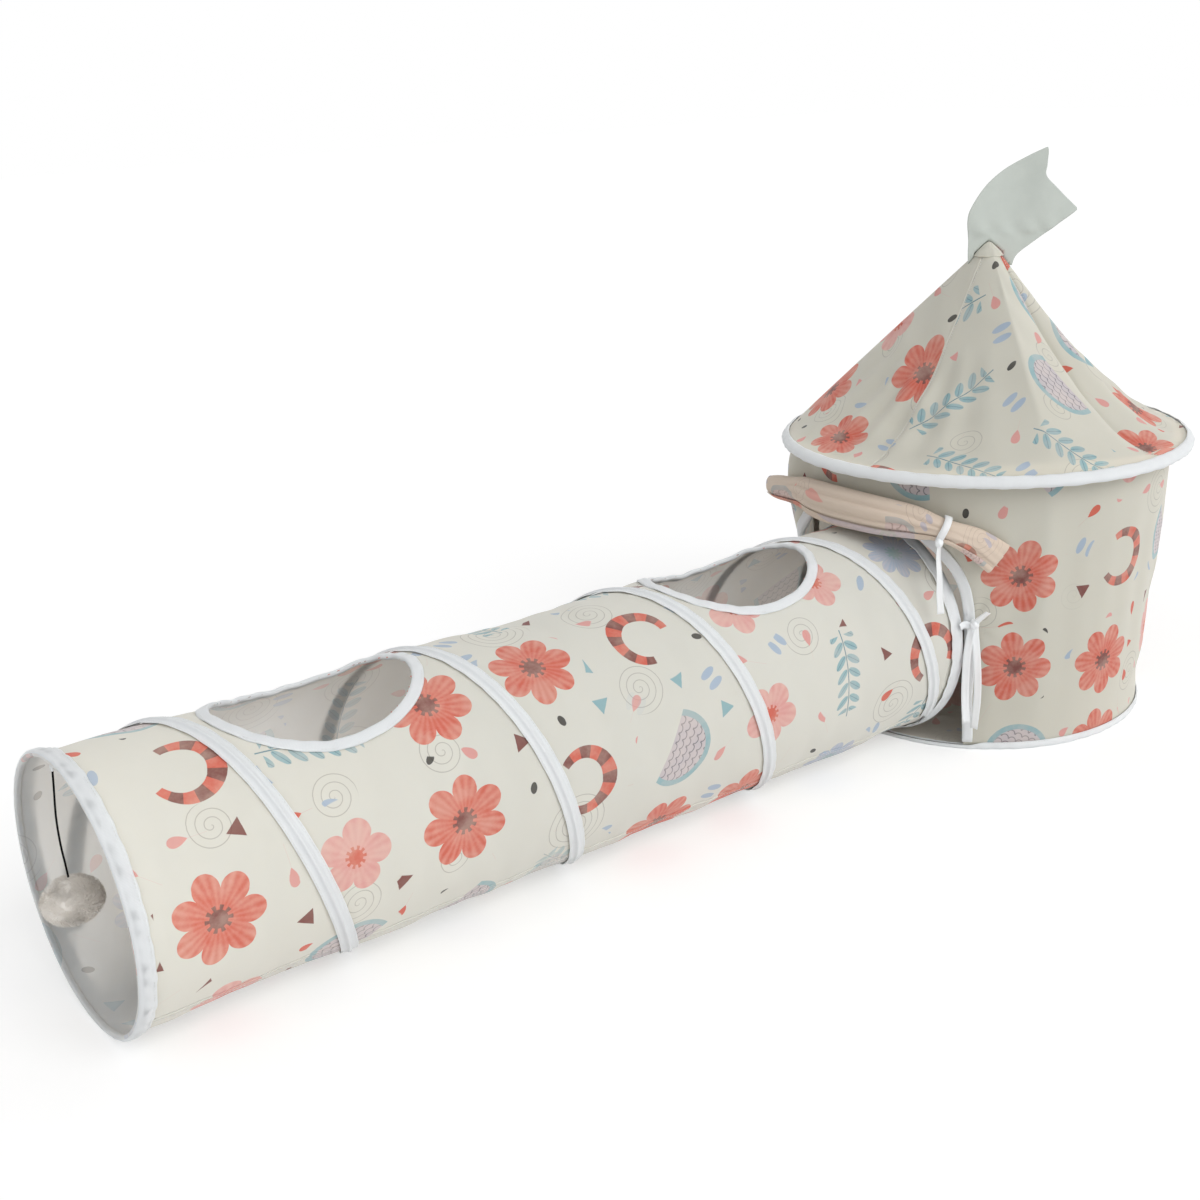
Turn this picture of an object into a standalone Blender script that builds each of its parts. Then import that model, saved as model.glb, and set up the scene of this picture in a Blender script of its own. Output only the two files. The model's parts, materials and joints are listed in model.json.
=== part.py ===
"""Folding cat tunnel with a round tent at its far end.

A long cloth tunnel on one spring wire lies along -X and ends in the doorway of a round cloth tent with a
pointed roof. The origin is on the ground in the middle of the tent, +Z is up, and lengths are in metres.
"""
import math

import bmesh
import bpy
from mathutils import Vector

# Cloth, tape, wire and clearance
GAP = 0.0003
CLOTH = 0.0008
TAPE = 0.0006
FLAT_RIM = 0.0090

# Tunnel
TUNNEL_RADIUS = 0.1250
TUNNEL_LENGTH = 0.9600
TUNNEL_END_INSET = 0.0255
TUNNEL_SIDES = 24
COIL_TURNS = 4
COIL_OVERRUN = 0.0120
COIL_WIRE = 0.0022
COIL_TAPE_WIDTH = 0.0175
COIL_REST = 0.0070
LOOP_STEP = 0.0032
LOOP_BLEND = 0.0040
END_BINDING_WIDTH = 0.0155
MOUTH_TURN = -0.057
MOUTH_TURN_REACH = 0.1500
RAMP_LENGTH = 0.1500

# Round holes in the top of the tunnel
HOLE_HALF_LENGTH = 0.0950
HOLE_HALF_ARC = 0.0780
HOLE_BINDING_WIDTH = 0.0095
FIRST_HOLE_TURNS = 1.005
HOLE_SPACING_TURNS = 2
HOLE_POINTS = 32
HOLE_PLUG = 0.0120
HOLE_LAP = 0.0350

# Tent
TENT_SIDES = 48
BASE_RADIUS = 0.1960
EAVE_HEIGHT = 0.3255
EAVE_RADIUS = 0.2345
EAVE_OVERHANG = 0.0185
APEX_HEIGHT = 0.5497
APEX_OPENING = 0.0100
RING_WIRE = 0.0025
FERRULE_WALL = 0.0004
FERRULE_LENGTH = 0.0170
FERRULE_AZIMUTH = 71.25
FLOOR_CLOTH = 0.0008
WALL_ROWS = 6
WALL_FOLD = 0.0035
WALL_BULGE = 0.0200
BULGE_START = 122.0
BULGE_WIDTH = 36.0
BULGE_RISE = 3.0
ROOF_SAG = 0.0400
ROOF_SAG_SKEW = 0.80
ROOF_ROWS = (0.15, 0.28, 0.45, 0.70, 1.0)
GORES = 4
GORE_AZIMUTH = -172.5

# Rods that hold the tent up
ROD_DIAMETER = 0.0030
ROD_COUNT = 3
SLEEVE_WIDTH = 0.0160
SLEEVE_BOTTOM = 0.0250
SLEEVE_DROP = 0.0255
ROD_END_RADIUS = 0.0125
HUB_HEIGHT = 0.0070
HUB_CHAMFER = 0.0010
CAP_RADIUS = 0.0165
CAP_TIP = 0.0020

# Doorway
DOOR_HALF_ANGLE = 37.5
DOOR_DROP = 0.0430
DOOR_ARCH_RISE = 0.1250
DOOR_BINDING_WIDTH = 0.0095
DOOR_PLUG_MARGIN = 0.0060
DOOR_PLUG_BELOW = 0.0200

# Rolled door flap and ribbons
ROLL_RADIUS = 0.0160
ROLL_PINCH = 0.82
ROLL_SIDES = 16
ROLL_DROP = 0.0365
ROLL_HANG = 0.0510
ROLL_RUN_OFF = 0.0800
TIE_EASE = 0.0016
RIBBON_WIDTH = 0.0085
RIBBON = 0.0008
KNOT = 0.0060
SMALL_KNOT = 0.0048
FLAP_TAIL = 0.0780
TUNNEL_TIE_HEIGHT = 0.1600
TUNNEL_TIE_BESIDE = 2.4
TUNNEL_TIE_TAIL = 0.1250
TUNNEL_TIE_STUB = 0.0140
TUNNEL_TIE_DEPTH = 0.0040

# Hanging toy
TOY_CORD = 0.0018
TOY_CORD_LENGTH = 0.0960
TOY_INSET = 0.0015
TOY_LOOP = 0.0060
TOY_LOOP_WIDTH = 0.0020
TOY_SWAY = 0.0046
TOY_BALL_WIDTH = 0.0560
TOY_BALL_HEIGHT = 0.0430

# Flag
FLAG_TURN = -35.3
FLAG_CLOTH = 0.0006
FLAG_REACH = 0.1000
FLAG_NOTCH = 0.0120

# Shapes as shares of the sizes above
ROLL_LINE = ((226, 1.0), (219, 0.588), (211, 0.314), (203, 0.190), (194, 0.150), (185, 0.140),
             (176, 0.140), (167, 0.155), (159, 0.165))
ROLL_FORM = ((1.20, 0.36), (1.05, 0.62), (ROLL_PINCH, ROLL_PINCH), (1.15, 0.95), (1.34, 1.00), (1.42, 1.00),
             (1.45, 1.00), (1.38, 0.96), (1.20, 0.88), (0.98, 0.80), (0.92, 0.72), (0.74, 0.48))
SWAY_LINE = (0.0, 0.304, 0.652, 0.913, 1.0, 0.957, 0.783, 0.652)
FLAP_TAIL_LINE = ((0.051, -0.256, 0.0), (0.077, -0.577, -0.026), (0.051, -1.0, -0.051))
FLAG_LINE = ((-0.246, -0.095), (-0.235, 0.060), (-0.258, 0.270), (-0.145, 0.470), (0.063, 0.700),
             (0.330, 0.865), (0.627, 1.000), (0.613, 0.675), (1.001, 0.300), (0.824, 0.155), (0.345, -0.155))

ROLL_TIE = ROLL_FORM.index((ROLL_PINCH, ROLL_PINCH))
WALL_TOP_RADIUS = EAVE_RADIUS - EAVE_OVERHANG
SLEEVE_TOP = EAVE_HEIGHT - SLEEVE_DROP
DOOR_HEIGHT = EAVE_HEIGHT - DOOR_DROP
DOOR_SPRING_HEIGHT = DOOR_HEIGHT - DOOR_ARCH_RISE
TENT_X = -(BASE_RADIUS - TUNNEL_END_INSET)
MOUTH_X = TENT_X - TUNNEL_LENGTH
STEP = 2 * math.pi / TUNNEL_SIDES
TENT_STEP = 2 * math.pi / TENT_SIDES
COIL_PITCH = (TUNNEL_LENGTH + 2 * COIL_OVERRUN) / COIL_TURNS
COIL_RADIUS = TUNNEL_RADIUS + GAP + COIL_WIRE / 2
BAND_INNER = TUNNEL_RADIUS + GAP + COIL_WIRE + GAP
BAND_OUTER = BAND_INNER + TAPE
AXIS_HEIGHT = BAND_OUTER * math.cos(STEP / 2)
FERRULE_RADIUS = RING_WIRE / 2 + GAP + FERRULE_WALL
CHANNEL = 2 * (FERRULE_RADIUS + GAP)
BASE_WIRE_RADIUS = BASE_RADIUS - TAPE - CHANNEL / 2
BASE_WIRE_HEIGHT = TAPE + CHANNEL / 2
THRESHOLD = BASE_WIRE_HEIGHT + RING_WIRE / 2 + GAP
WALL_BOTTOM = THRESHOLD
WALL_BASE_RADIUS = BASE_RADIUS - TAPE - GAP
SKIN_BOTTOM = AXIS_HEIGHT - TUNNEL_RADIUS * math.cos(STEP / 2)
LIFT = max(FLOOR_CLOTH + GAP, THRESHOLD + GAP - SKIN_BOTTOM)
RAMP_END = -(BASE_RADIUS + GAP)
ROOF_SLOPE = math.atan2(APEX_HEIGHT - EAVE_HEIGHT, EAVE_RADIUS)
ROOF_SKIN = CHANNEL / 2 - GAP
COLOURS = {
    "print": ((0.80, 0.76, 0.67, 1.0), 0.80, 0.0),
    "inside": ((0.70, 0.63, 0.52, 1.0), 0.85, 0.0),
    "tape": ((0.86, 0.89, 0.93, 1.0), 0.60, 0.0),
    "steel": ((0.55, 0.55, 0.56, 1.0), 0.35, 1.0),
    "glass_fibre": ((0.78, 0.76, 0.70, 1.0), 0.45, 0.0),
    "plastic": ((0.85, 0.85, 0.83, 1.0), 0.50, 0.0),
    "veil": ((0.72, 0.77, 0.76, 1.0), 0.70, 0.0),
    "elastic": ((0.01, 0.01, 0.01, 1.0), 0.70, 0.0),
    "fluff": ((0.88, 0.85, 0.82, 1.0), 0.95, 0.0),
}


def clear_scene():
    for obj in list(bpy.data.objects):
        bpy.data.objects.remove(obj, do_unlink=True)


def material(kind):
    found = bpy.data.materials.get(kind)
    if found:
        return found
    colour, roughness, metallic = COLOURS[kind]
    made = bpy.data.materials.new(kind)
    made.use_nodes = True
    shader = made.node_tree.nodes["Principled BSDF"]
    shader.inputs["Base Color"].default_value = colour
    shader.inputs["Roughness"].default_value = roughness
    shader.inputs["Metallic"].default_value = metallic
    return made


def add_mesh(name, points, faces, kind):
    """One object with its own material; its faces are turned outward."""
    mesh = bpy.data.meshes.new(name)
    mesh.from_pydata([tuple(p) for p in points], [], faces)
    shape = bmesh.new()
    shape.from_mesh(mesh)
    bmesh.ops.recalc_face_normals(shape, faces=shape.faces)
    bmesh.ops.triangulate(shape, faces=shape.faces, quad_method="FIXED")
    shape.to_mesh(mesh)
    shape.free()
    mesh.shade_smooth()
    mesh.set_sharp_from_angle(angle=math.radians(35))
    mesh.materials.append(material(kind))
    obj = bpy.data.objects.new(name, mesh)
    bpy.context.scene.collection.objects.link(obj)
    return obj


def loft(name, sections, kind, closed=False):
    """Closed sections joined in order. The ends are capped, or the last joins the first where closed."""
    size = len(sections[0])
    points = [p for section in sections for p in section]
    count = len(sections)
    faces = []
    for i in range(count if closed else count - 1):
        a = i * size
        b = ((i + 1) % count) * size
        for k in range(size):
            n = (k + 1) % size
            faces.append((a + k, a + n, b + n, b + k))
    if not closed:
        faces.append(tuple(range(size)))
        faces.append(tuple(range((count - 1) * size, count * size)))
    return add_mesh(name, points, faces, kind)


def shell(name, outer, inner, kind, closed_across):
    """A cloth wall between two matching grids of points: rows run along, columns run across."""
    rows = len(outer)
    columns = len(outer[0])
    points = [p for row in outer for p in row] + [p for row in inner for p in row]
    shift = rows * columns
    faces = []
    spans = columns if closed_across else columns - 1
    for r in range(rows - 1):
        for c in range(spans):
            n = (c + 1) % columns
            quad = (r * columns + c, r * columns + n, (r + 1) * columns + n, (r + 1) * columns + c)
            faces.append(quad)
            faces.append(tuple(shift + quad[k] for k in (0, 3, 2, 1)))
    for r in (0, rows - 1):
        for c in range(spans):
            n = (c + 1) % columns
            a, b = r * columns + c, r * columns + n
            faces.append((a, b, b + shift, a + shift))
    if not closed_across:
        for c in (0, columns - 1):
            for r in range(rows - 1):
                a, b = r * columns + c, (r + 1) * columns + c
                faces.append((a, b, b + shift, a + shift))
    return add_mesh(name, points, faces, kind)


def as_guide(obj):
    obj.hide_render = True
    obj.display_type = "WIRE"
    return obj


def combine(obj, other, operation):
    modifier = obj.modifiers.new(operation.lower(), "BOOLEAN")
    modifier.operation = operation
    modifier.solver = "EXACT"
    modifier.object = as_guide(other)
    return obj


def tube(name, route, radius, kind, cyclic=False, resolution=1):
    """A round wire or cord through a list of points."""
    curve = bpy.data.curves.new(name, "CURVE")
    curve.dimensions = "3D"
    curve.bevel_depth = radius
    curve.bevel_resolution = resolution
    curve.use_fill_caps = True
    spline = curve.splines.new("POLY")
    spline.points.add(len(route) - 1)
    for point, place in zip(spline.points, route):
        point.co = (place[0], place[1], place[2], 1.0)
    spline.use_cyclic_u = cyclic
    curve.materials.append(material(kind))
    obj = bpy.data.objects.new(name, curve)
    bpy.context.scene.collection.objects.link(obj)
    return obj


def tunnel_lift(x):
    """The last stretch climbs a little, over the edge of the tent's floor."""
    return LIFT * min(1.0, max(0.0, (x - RAMP_END + RAMP_LENGTH) / RAMP_LENGTH))


def tunnel_point(x, radius, turn):
    """turn is the angle from the bottom, rising on the far side, +Y. The mouth stands slightly turned."""
    y = radius * math.sin(turn)
    z = AXIS_HEIGHT - radius * math.cos(turn) + tunnel_lift(x)
    lean = MOUTH_TURN * y * max(0.0, 1.0 - (x - MOUTH_X) / MOUTH_TURN_REACH)
    return Vector((x + lean, y, z))


def tunnel_angles():
    return [(k + 0.5) * STEP for k in range(TUNNEL_SIDES)]


def tunnel_rows(start, end):
    """Stations along the tunnel, with those where its line bends."""
    bends = [MOUTH_X + MOUTH_TURN_REACH, RAMP_END - RAMP_LENGTH, RAMP_END]
    return [start] + [x for x in bends if start < x < end] + [end]


def tunnel_tube(name, start, end, inner, outer, kind, angles=None):
    turns = angles or tunnel_angles()
    rows = tunnel_rows(start, end)
    outside = [[tunnel_point(x, outer, t) for t in turns] for x in rows]
    inside = [[tunnel_point(x, inner, t) for t in turns] for x in rows]
    return shell(name, outside, inside, kind, angles is None)


def hole_prism(name, centre, grow):
    """A plug through the tunnel's top with the hole's outline, grown by a margin."""
    low, high = TUNNEL_RADIUS - HOLE_PLUG, TUNNEL_RADIUS + HOLE_PLUG
    long, arc = HOLE_HALF_LENGTH + grow, (HOLE_HALF_ARC + grow) / TUNNEL_RADIUS
    rim = [2 * math.pi * k / HOLE_POINTS for k in range(HOLE_POINTS)]
    points = []
    for radius in (low, high):
        for a in rim:
            points.append(tunnel_point(centre + long * math.cos(a), radius, math.pi + arc * math.sin(a)))
    points.append(tunnel_point(centre, low, math.pi))
    points.append(tunnel_point(centre, high, math.pi))
    faces = []
    for k in range(HOLE_POINTS):
        n = (k + 1) % HOLE_POINTS
        faces.append((k, n, HOLE_POINTS + n, HOLE_POINTS + k))
        faces.append((k, n, 2 * HOLE_POINTS))
        faces.append((HOLE_POINTS + k, HOLE_POINTS + n, 2 * HOLE_POINTS + 1))
    return add_mesh(name, points, faces, "tape")


def hole_centres():
    first = MOUTH_X - COIL_OVERRUN + FIRST_HOLE_TURNS * COIL_PITCH
    return [first, first + HOLE_SPACING_TURNS * COIL_PITCH]


def tunnel_skin():
    end = TAPE + GAP
    inner = TUNNEL_RADIUS - CLOTH
    skin = tunnel_tube("tunnel_skin", MOUTH_X + end, TENT_X - end, inner, TUNNEL_RADIUS, "print")
    for number, centre in enumerate(hole_centres(), 1):
        combine(skin, hole_prism(f"hole_{number}_cut", centre, 0.0), "DIFFERENCE")


def hole_bindings():
    """White tape folded over each hole's edge: a C section made from the same tube and outline."""
    outer = TUNNEL_RADIUS + GAP
    inner = TUNNEL_RADIUS - CLOTH - GAP
    reach = HOLE_HALF_LENGTH + HOLE_BINDING_WIDTH + HOLE_PLUG
    lap = [t for t in tunnel_angles() if abs(t - math.pi) < (HOLE_HALF_ARC + HOLE_LAP) / TUNNEL_RADIUS]
    for number, centre in enumerate(hole_centres(), 1):
        start, end = centre - reach, centre + reach
        name = f"hole_binding_{number}"
        band = tunnel_tube(name, start, end, inner - TAPE, outer + TAPE, "tape", lap)
        slot = tunnel_tube(f"hole_{number}_slot", start - GAP, end + GAP, inner, outer, "tape", lap)
        combine(slot, hole_prism(f"hole_{number}_web", centre, -GAP), "DIFFERENCE")
        combine(band, hole_prism(f"hole_{number}_outline", centre, HOLE_BINDING_WIDTH), "INTERSECT")
        combine(band, hole_prism(f"hole_{number}_opening", centre, -GAP - TAPE), "DIFFERENCE")
        combine(band, slot, "DIFFERENCE")


def coil_x(turn):
    """Where the spring wire is along the tunnel: four open turns between two closed end loops."""
    share = turn / (2 * math.pi)
    main = MOUTH_X - COIL_OVERRUN + COIL_PITCH * share
    near = MOUTH_X + COIL_REST + LOOP_STEP * share
    far = TENT_X - COIL_REST + LOOP_STEP * (share - COIL_TURNS)
    after_mouth = (near + main + math.hypot(near - main, LOOP_BLEND)) / 2
    return (after_mouth + far - math.hypot(after_mouth - far, LOOP_BLEND)) / 2


def coil_turns(first, last):
    start = math.ceil(first / STEP - 0.5)
    stop = math.floor(last / STEP - 0.5)
    return [(k + 0.5) * STEP for k in range(start, stop + 1)]


def tunnel_spring():
    """One unbroken spring wire. Its least gap to itself is measured on its points and printed."""
    turns = coil_turns(-2 * math.pi, 2 * math.pi * (COIL_TURNS + 1))
    route = [tunnel_point(coil_x(t), COIL_RADIUS, t) for t in turns]
    tube("tunnel_spring", route, COIL_WIRE / 2, "steel")
    least = min(
        (route[a] - route[b]).length
        for a in range(len(route))
        for b in range(a + TUNNEL_SIDES // 2, len(route))
    )
    print(f"tunnel_spring: least gap to itself {(least - COIL_WIRE) * 1000:.2f} mm")


def spring_tape():
    """White tape sewn over the spring wire, with a hump over the wire and two flat edges on the cloth."""
    half = COIL_TAPE_WIDTH / 2
    hump = COIL_WIRE / 2 + 2 * GAP
    foot = hump + COIL_WIRE / 2
    near_limit = MOUTH_X + END_BINDING_WIDTH + GAP
    far_limit = TENT_X - END_BINDING_WIDTH - GAP
    low, high = TUNNEL_RADIUS + GAP, BAND_INNER
    sections = []
    for t in coil_turns(0.0, 2 * math.pi * COIL_TURNS):
        x = coil_x(t)
        left = max(x - half, near_limit)
        right = min(x + half, far_limit)
        if right < x + foot + TAPE + GAP or left > x - foot - TAPE - GAP:
            continue
        inner = [(left, low), (x - foot, low), (x - hump, high),
                 (x + hump, high), (x + foot, low), (right, low)]
        outer = [(right, low), (x + foot + TAPE, low), (x + hump, high),
                 (x - hump, high), (x - foot - TAPE, low), (left, low)]
        section = [tunnel_point(px, r, t) for px, r in inner]
        section += [tunnel_point(px, r + TAPE, t) for px, r in outer]
        sections.append(section)
    loft("spring_tape", sections, "tape")


def end_binding(name, edge, inward):
    """White tape folded over one end of the tunnel, with the spring's end loop between its legs."""
    inner_low = TUNNEL_RADIUS - CLOTH - GAP - TAPE
    inner_high = TUNNEL_RADIUS - CLOTH - GAP
    lip = edge + inward * END_BINDING_WIDTH
    web = edge + inward * TAPE
    profile = [
        (lip, inner_low), (edge, inner_low), (edge, BAND_OUTER), (lip, BAND_OUTER),
        (lip, BAND_INNER), (web, BAND_INNER), (web, inner_high), (lip, inner_high),
    ]
    sections = [[tunnel_point(x, r, t) for x, r in profile] for t in tunnel_angles()]
    loft(name, sections, "tape", closed=True)


def tent_angles():
    return [k * TENT_STEP for k in range(TENT_SIDES)]


def polar(radius, angle, z):
    return Vector((radius * math.cos(angle), radius * math.sin(angle), z))


def door_share(angle):
    """Degrees from the middle of the doorway, which faces -X."""
    return abs((math.degrees(angle) % 360) - 180)


def ring_wire(name, radius, z):
    """A spring hoop whose two ends meet in the middle of one straight side."""
    start = math.radians(FERRULE_AZIMUTH)
    chord = radius * math.cos(TENT_STEP / 2)
    along = Vector((-math.sin(start), math.cos(start), 0.0))
    middle = polar(chord, start, z)
    first = round((start + TENT_STEP / 2) / TENT_STEP)
    route = [middle + along * GAP]
    route += [polar(radius, (first + k) * TENT_STEP, z) for k in range(TENT_SIDES)]
    route.append(middle - along * GAP)
    tube(name, route, RING_WIRE / 2, "steel")


def ring_ferrule(name, radius, z):
    """The crimp tube that holds the hoop's two ends."""
    start = math.radians(FERRULE_AZIMUTH)
    along = Vector((-math.sin(start), math.cos(start), 0.0))
    side = Vector((math.cos(start), math.sin(start), 0.0))
    up = Vector((0.0, 0.0, 1.0))
    middle = polar(radius * math.cos(TENT_STEP / 2), start, z)
    bore = RING_WIRE / 2 + GAP
    profile = [(-FERRULE_LENGTH / 2, bore), (FERRULE_LENGTH / 2, bore),
               (FERRULE_LENGTH / 2, FERRULE_RADIUS), (-FERRULE_LENGTH / 2, FERRULE_RADIUS)]
    sections = []
    for k in range(12):
        a = 2 * math.pi * k / 12
        out = side * math.cos(a) + up * math.sin(a)
        sections.append([middle + along * s + out * r for s, r in profile])
    loft(name, sections, "steel", closed=True)


def tent_floor():
    radius = BASE_RADIUS - 2 * TAPE - CHANNEL - GAP
    top = [[polar(radius, a, FLOOR_CLOTH) for a in tent_angles()]]
    low = [[polar(radius, a, 0.0) for a in tent_angles()]]
    loft("tent_floor", [low[0], top[0]], "inside")


def base_binding():
    """Tape round the tent's foot: a channel for the hoop and the wall's hem, low across the doorway."""
    outer, inner = BASE_RADIUS, BASE_RADIUS - 2 * TAPE - CHANNEL
    sections = []
    for a in tent_angles():
        low = door_share(a) < DOOR_HALF_ANGLE + math.degrees(TENT_STEP)
        top = THRESHOLD if low else FLAT_RIM
        profile = [(outer, 0.0), (outer, top), (outer - TAPE, top), (outer - TAPE, TAPE),
                   (inner + TAPE, TAPE), (inner + TAPE, top), (inner, top), (inner, 0.0)]
        sections.append([polar(r, a, z) for r, z in profile])
    loft("base_binding", sections, "tape", closed=True)


def roof_point(along, out, angle):
    """A point on the roof: along runs up the slope from the eave hoop, out stands off it."""
    r = EAVE_RADIUS - along * math.cos(ROOF_SLOPE) + out * math.sin(ROOF_SLOPE)
    z = EAVE_HEIGHT + along * math.sin(ROOF_SLOPE) + out * math.cos(ROOF_SLOPE)
    return polar(r, angle, z)


def roof_line(radius, out):
    """Distance up the slope at which the roof has this radius."""
    return (EAVE_RADIUS + out * math.sin(ROOF_SLOPE) - radius) / math.cos(ROOF_SLOPE)


def roof_stations():
    """Distances up the slope: inside the eave binding, its rim, over the wall, then on to the point."""
    low = RING_WIRE / 2 + GAP
    rim = FLAT_RIM + GAP
    over_wall = roof_line(WALL_TOP_RADIUS, ROOF_SKIN - CLOTH)
    high = roof_line(APEX_OPENING, ROOF_SKIN)
    return [low, rim, over_wall] + [rim + (high - rim) * share for share in ROOF_ROWS]


def roof_dip(angle, along):
    """How far the roof cloth hangs down between the rods."""
    stations = roof_stations()
    share = max(0.0, (along - stations[1]) / (stations[-1] - stations[1]))
    return ROOF_SAG * abs(math.sin(ROD_COUNT * angle / 2)) * math.sin(math.pi * share ** ROOF_SAG_SKEW)


def wall_top(angle):
    """Height at which the wall meets the roof cloth's underside."""
    seat = roof_line(WALL_TOP_RADIUS, ROOF_SKIN - CLOTH)
    return roof_point(seat, ROOF_SKIN - CLOTH, 0.0).z - roof_dip(angle, seat) - GAP


def wall_levels(angle):
    """Heights of the wall's rows: upright inside the foot binding, then even steps to the roof."""
    foot, top = FLAT_RIM + GAP, wall_top(angle)
    return [WALL_BOTTOM] + [foot + (top - foot) * k / WALL_ROWS for k in range(WALL_ROWS + 1)]


def wall_lean(share):
    """The wall's radius without its folds: it leans out towards the eave."""
    return WALL_BASE_RADIUS + (WALL_TOP_RADIUS - WALL_BASE_RADIUS) * share


def wall_form(angle, share):
    """The wall's radius with the soft folds between the rods and the bulge left of the doorway."""
    calm = min(1.0, max(0.0, (door_share(angle) - DOOR_HALF_ANGLE - 6.0) / 15.0))
    between_rods = (1 - math.cos(ROD_COUNT * angle)) / 2
    swell = 0.6 * math.cos(8 * angle + 1.0) - 0.6 + 0.4 * math.cos(5 * angle)
    fold = WALL_FOLD * calm * between_rods * swell * math.sin(math.pi * share)
    pulled = (math.degrees(angle) % 360 - BULGE_START) / BULGE_WIDTH
    bulge = WALL_BULGE * math.sin(math.pi * min(1.0, max(0.0, pulled))) ** 2
    return wall_lean(share) + fold + bulge * math.sin(math.pi * share ** BULGE_RISE)


def wall_radius(angle, z):
    """The wall's radius at any height, straight between its rows."""
    levels = wall_levels(angle)
    rows = [(level, wall_form(angle, max(0, k - 1) / WALL_ROWS)) for k, level in enumerate(levels)]
    height = min(levels[-1], max(levels[0], z))
    above = next(k for k in range(1, len(rows)) if levels[k] >= height - 1e-9)
    (low, near), (high, far) = rows[above - 1], rows[above]
    return near + (far - near) * (height - low) / (high - low)


def wall_face(angle, z, offset):
    """A point standing off the wall's face, which is flat between its columns."""
    first = math.floor(angle / TENT_STEP) * TENT_STEP
    near = polar(wall_radius(first, z), first, z)
    far = polar(wall_radius(first + TENT_STEP, z), first + TENT_STEP, z)
    ray = Vector((math.cos(angle), math.sin(angle), 0.0))
    chord = far - near
    share = (near.y * ray.x - near.x * ray.y) / (chord.x * ray.y - chord.y * ray.x)
    return near + chord * share + ray * offset


def wall_grid(offset, spare):
    """Rows of points on the wall, standing off it. The end rows move by the spare height."""
    columns = []
    for a in tent_angles():
        levels = wall_levels(a)
        inner = levels[2:-1] if spare < 0 else levels[1:-1]
        heights = [levels[0] - spare] + inner + [levels[-1] + spare]
        columns.append([polar(wall_radius(a, z) + offset, a, z) for z in heights])
    return [list(row) for row in zip(*columns)]


def wall_shell(name, inward, outward, spare, kind):
    return shell(name, wall_grid(outward, spare), wall_grid(-inward, spare), kind, True)


def door_outline(grow):
    """Half angle of the doorway at each height: straight jambs and an arch above."""
    spread = math.degrees(grow / WALL_TOP_RADIUS)
    half, rise = DOOR_HALF_ANGLE + spread, DOOR_HEIGHT + grow - DOOR_SPRING_HEIGHT
    points = [(half, WALL_BOTTOM - DOOR_PLUG_BELOW), (half, DOOR_SPRING_HEIGHT)]
    for k in range(1, 10):
        a = math.pi / 2 * k / 9.5
        points.append((half * math.cos(a), DOOR_SPRING_HEIGHT + rise * math.sin(a)))
    left = [(180 + d, z) for d, z in points]
    right = [(180 - d, z) for d, z in reversed(points)]
    bottom = [(180 + half * (2 * k - 5) / 7, WALL_BOTTOM - DOOR_PLUG_BELOW) for k in range(6)]
    return left + right + bottom


def door_prism(name, grow):
    """A plug with the doorway's outline, from near the tent's axis to outside the wall."""
    outline = door_outline(grow)
    near, far = WALL_BASE_RADIUS * 0.7, WALL_TOP_RADIUS * 1.25
    points = []
    for place in (-1, 0, 1, 2):
        for azimuth, z in outline:
            angle = math.radians(azimuth)
            beside = wall_radius(angle, z) + (DOOR_PLUG_MARGIN if place else -DOOR_PLUG_MARGIN)
            points.append(polar({-1: near, 2: far}.get(place, beside), angle, z))
    count = len(outline)
    points += [polar(near, math.pi, DOOR_SPRING_HEIGHT), polar(far, math.pi, DOOR_SPRING_HEIGHT)]
    faces = []
    for k in range(count):
        n = (k + 1) % count
        faces += [(row + k, row + n, row + count + n, row + count + k) for row in (0, count, 2 * count)]
        faces.append((k, n, 4 * count))
        faces.append((3 * count + k, 3 * count + n, 4 * count + 1))
    return add_mesh(name, points, faces, "tape")


def tent_wall():
    wall = wall_shell("tent_wall", CLOTH, 0.0, 0.0, "print")
    combine(wall, door_prism("door_cut", 0.0), "DIFFERENCE")


def door_binding():
    """White tape folded over the doorway's edge, made from the wall's own folds and the door's outline."""
    band = wall_shell("door_binding", CLOTH + GAP + TAPE, GAP + TAPE, -FLAT_RIM - GAP, "tape")
    slot = wall_shell("door_slot", CLOTH + GAP, GAP, DOOR_PLUG_BELOW / 2, "tape")
    combine(slot, door_prism("door_web", -GAP), "DIFFERENCE")
    combine(band, door_prism("door_border", DOOR_BINDING_WIDTH), "INTERSECT")
    combine(band, door_prism("door_opening", -GAP - TAPE), "DIFFERENCE")
    combine(band, slot, "DIFFERENCE")


def rod_angles():
    return [2 * math.pi * k / ROD_COUNT for k in range(ROD_COUNT)]


def wall_rod_line(z, angle):
    """Where the middle of a wall rod is at a height."""
    foot = FLAT_RIM + GAP
    share = (z - foot) / (wall_top(angle) - foot)
    return polar(wall_lean(share) - CLOTH - GAP - ROD_DIAMETER / 2, angle, z)


def roof_rod_out():
    return ROOF_SKIN - CLOTH - GAP - ROD_DIAMETER / 2


def wall_rods():
    """Flexible rods inside the wall, from the foot binding to the eave."""
    low = FLAT_RIM + GAP
    for number, angle in enumerate(rod_angles(), 1):
        meet = wall_top(angle) - ROD_DIAMETER - 4 * GAP
        route = [wall_rod_line(low + (meet - low) * k / 4, angle) for k in range(5)]
        tube(f"wall_rod_{number}", route, ROD_DIAMETER / 2, "glass_fibre")


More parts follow.
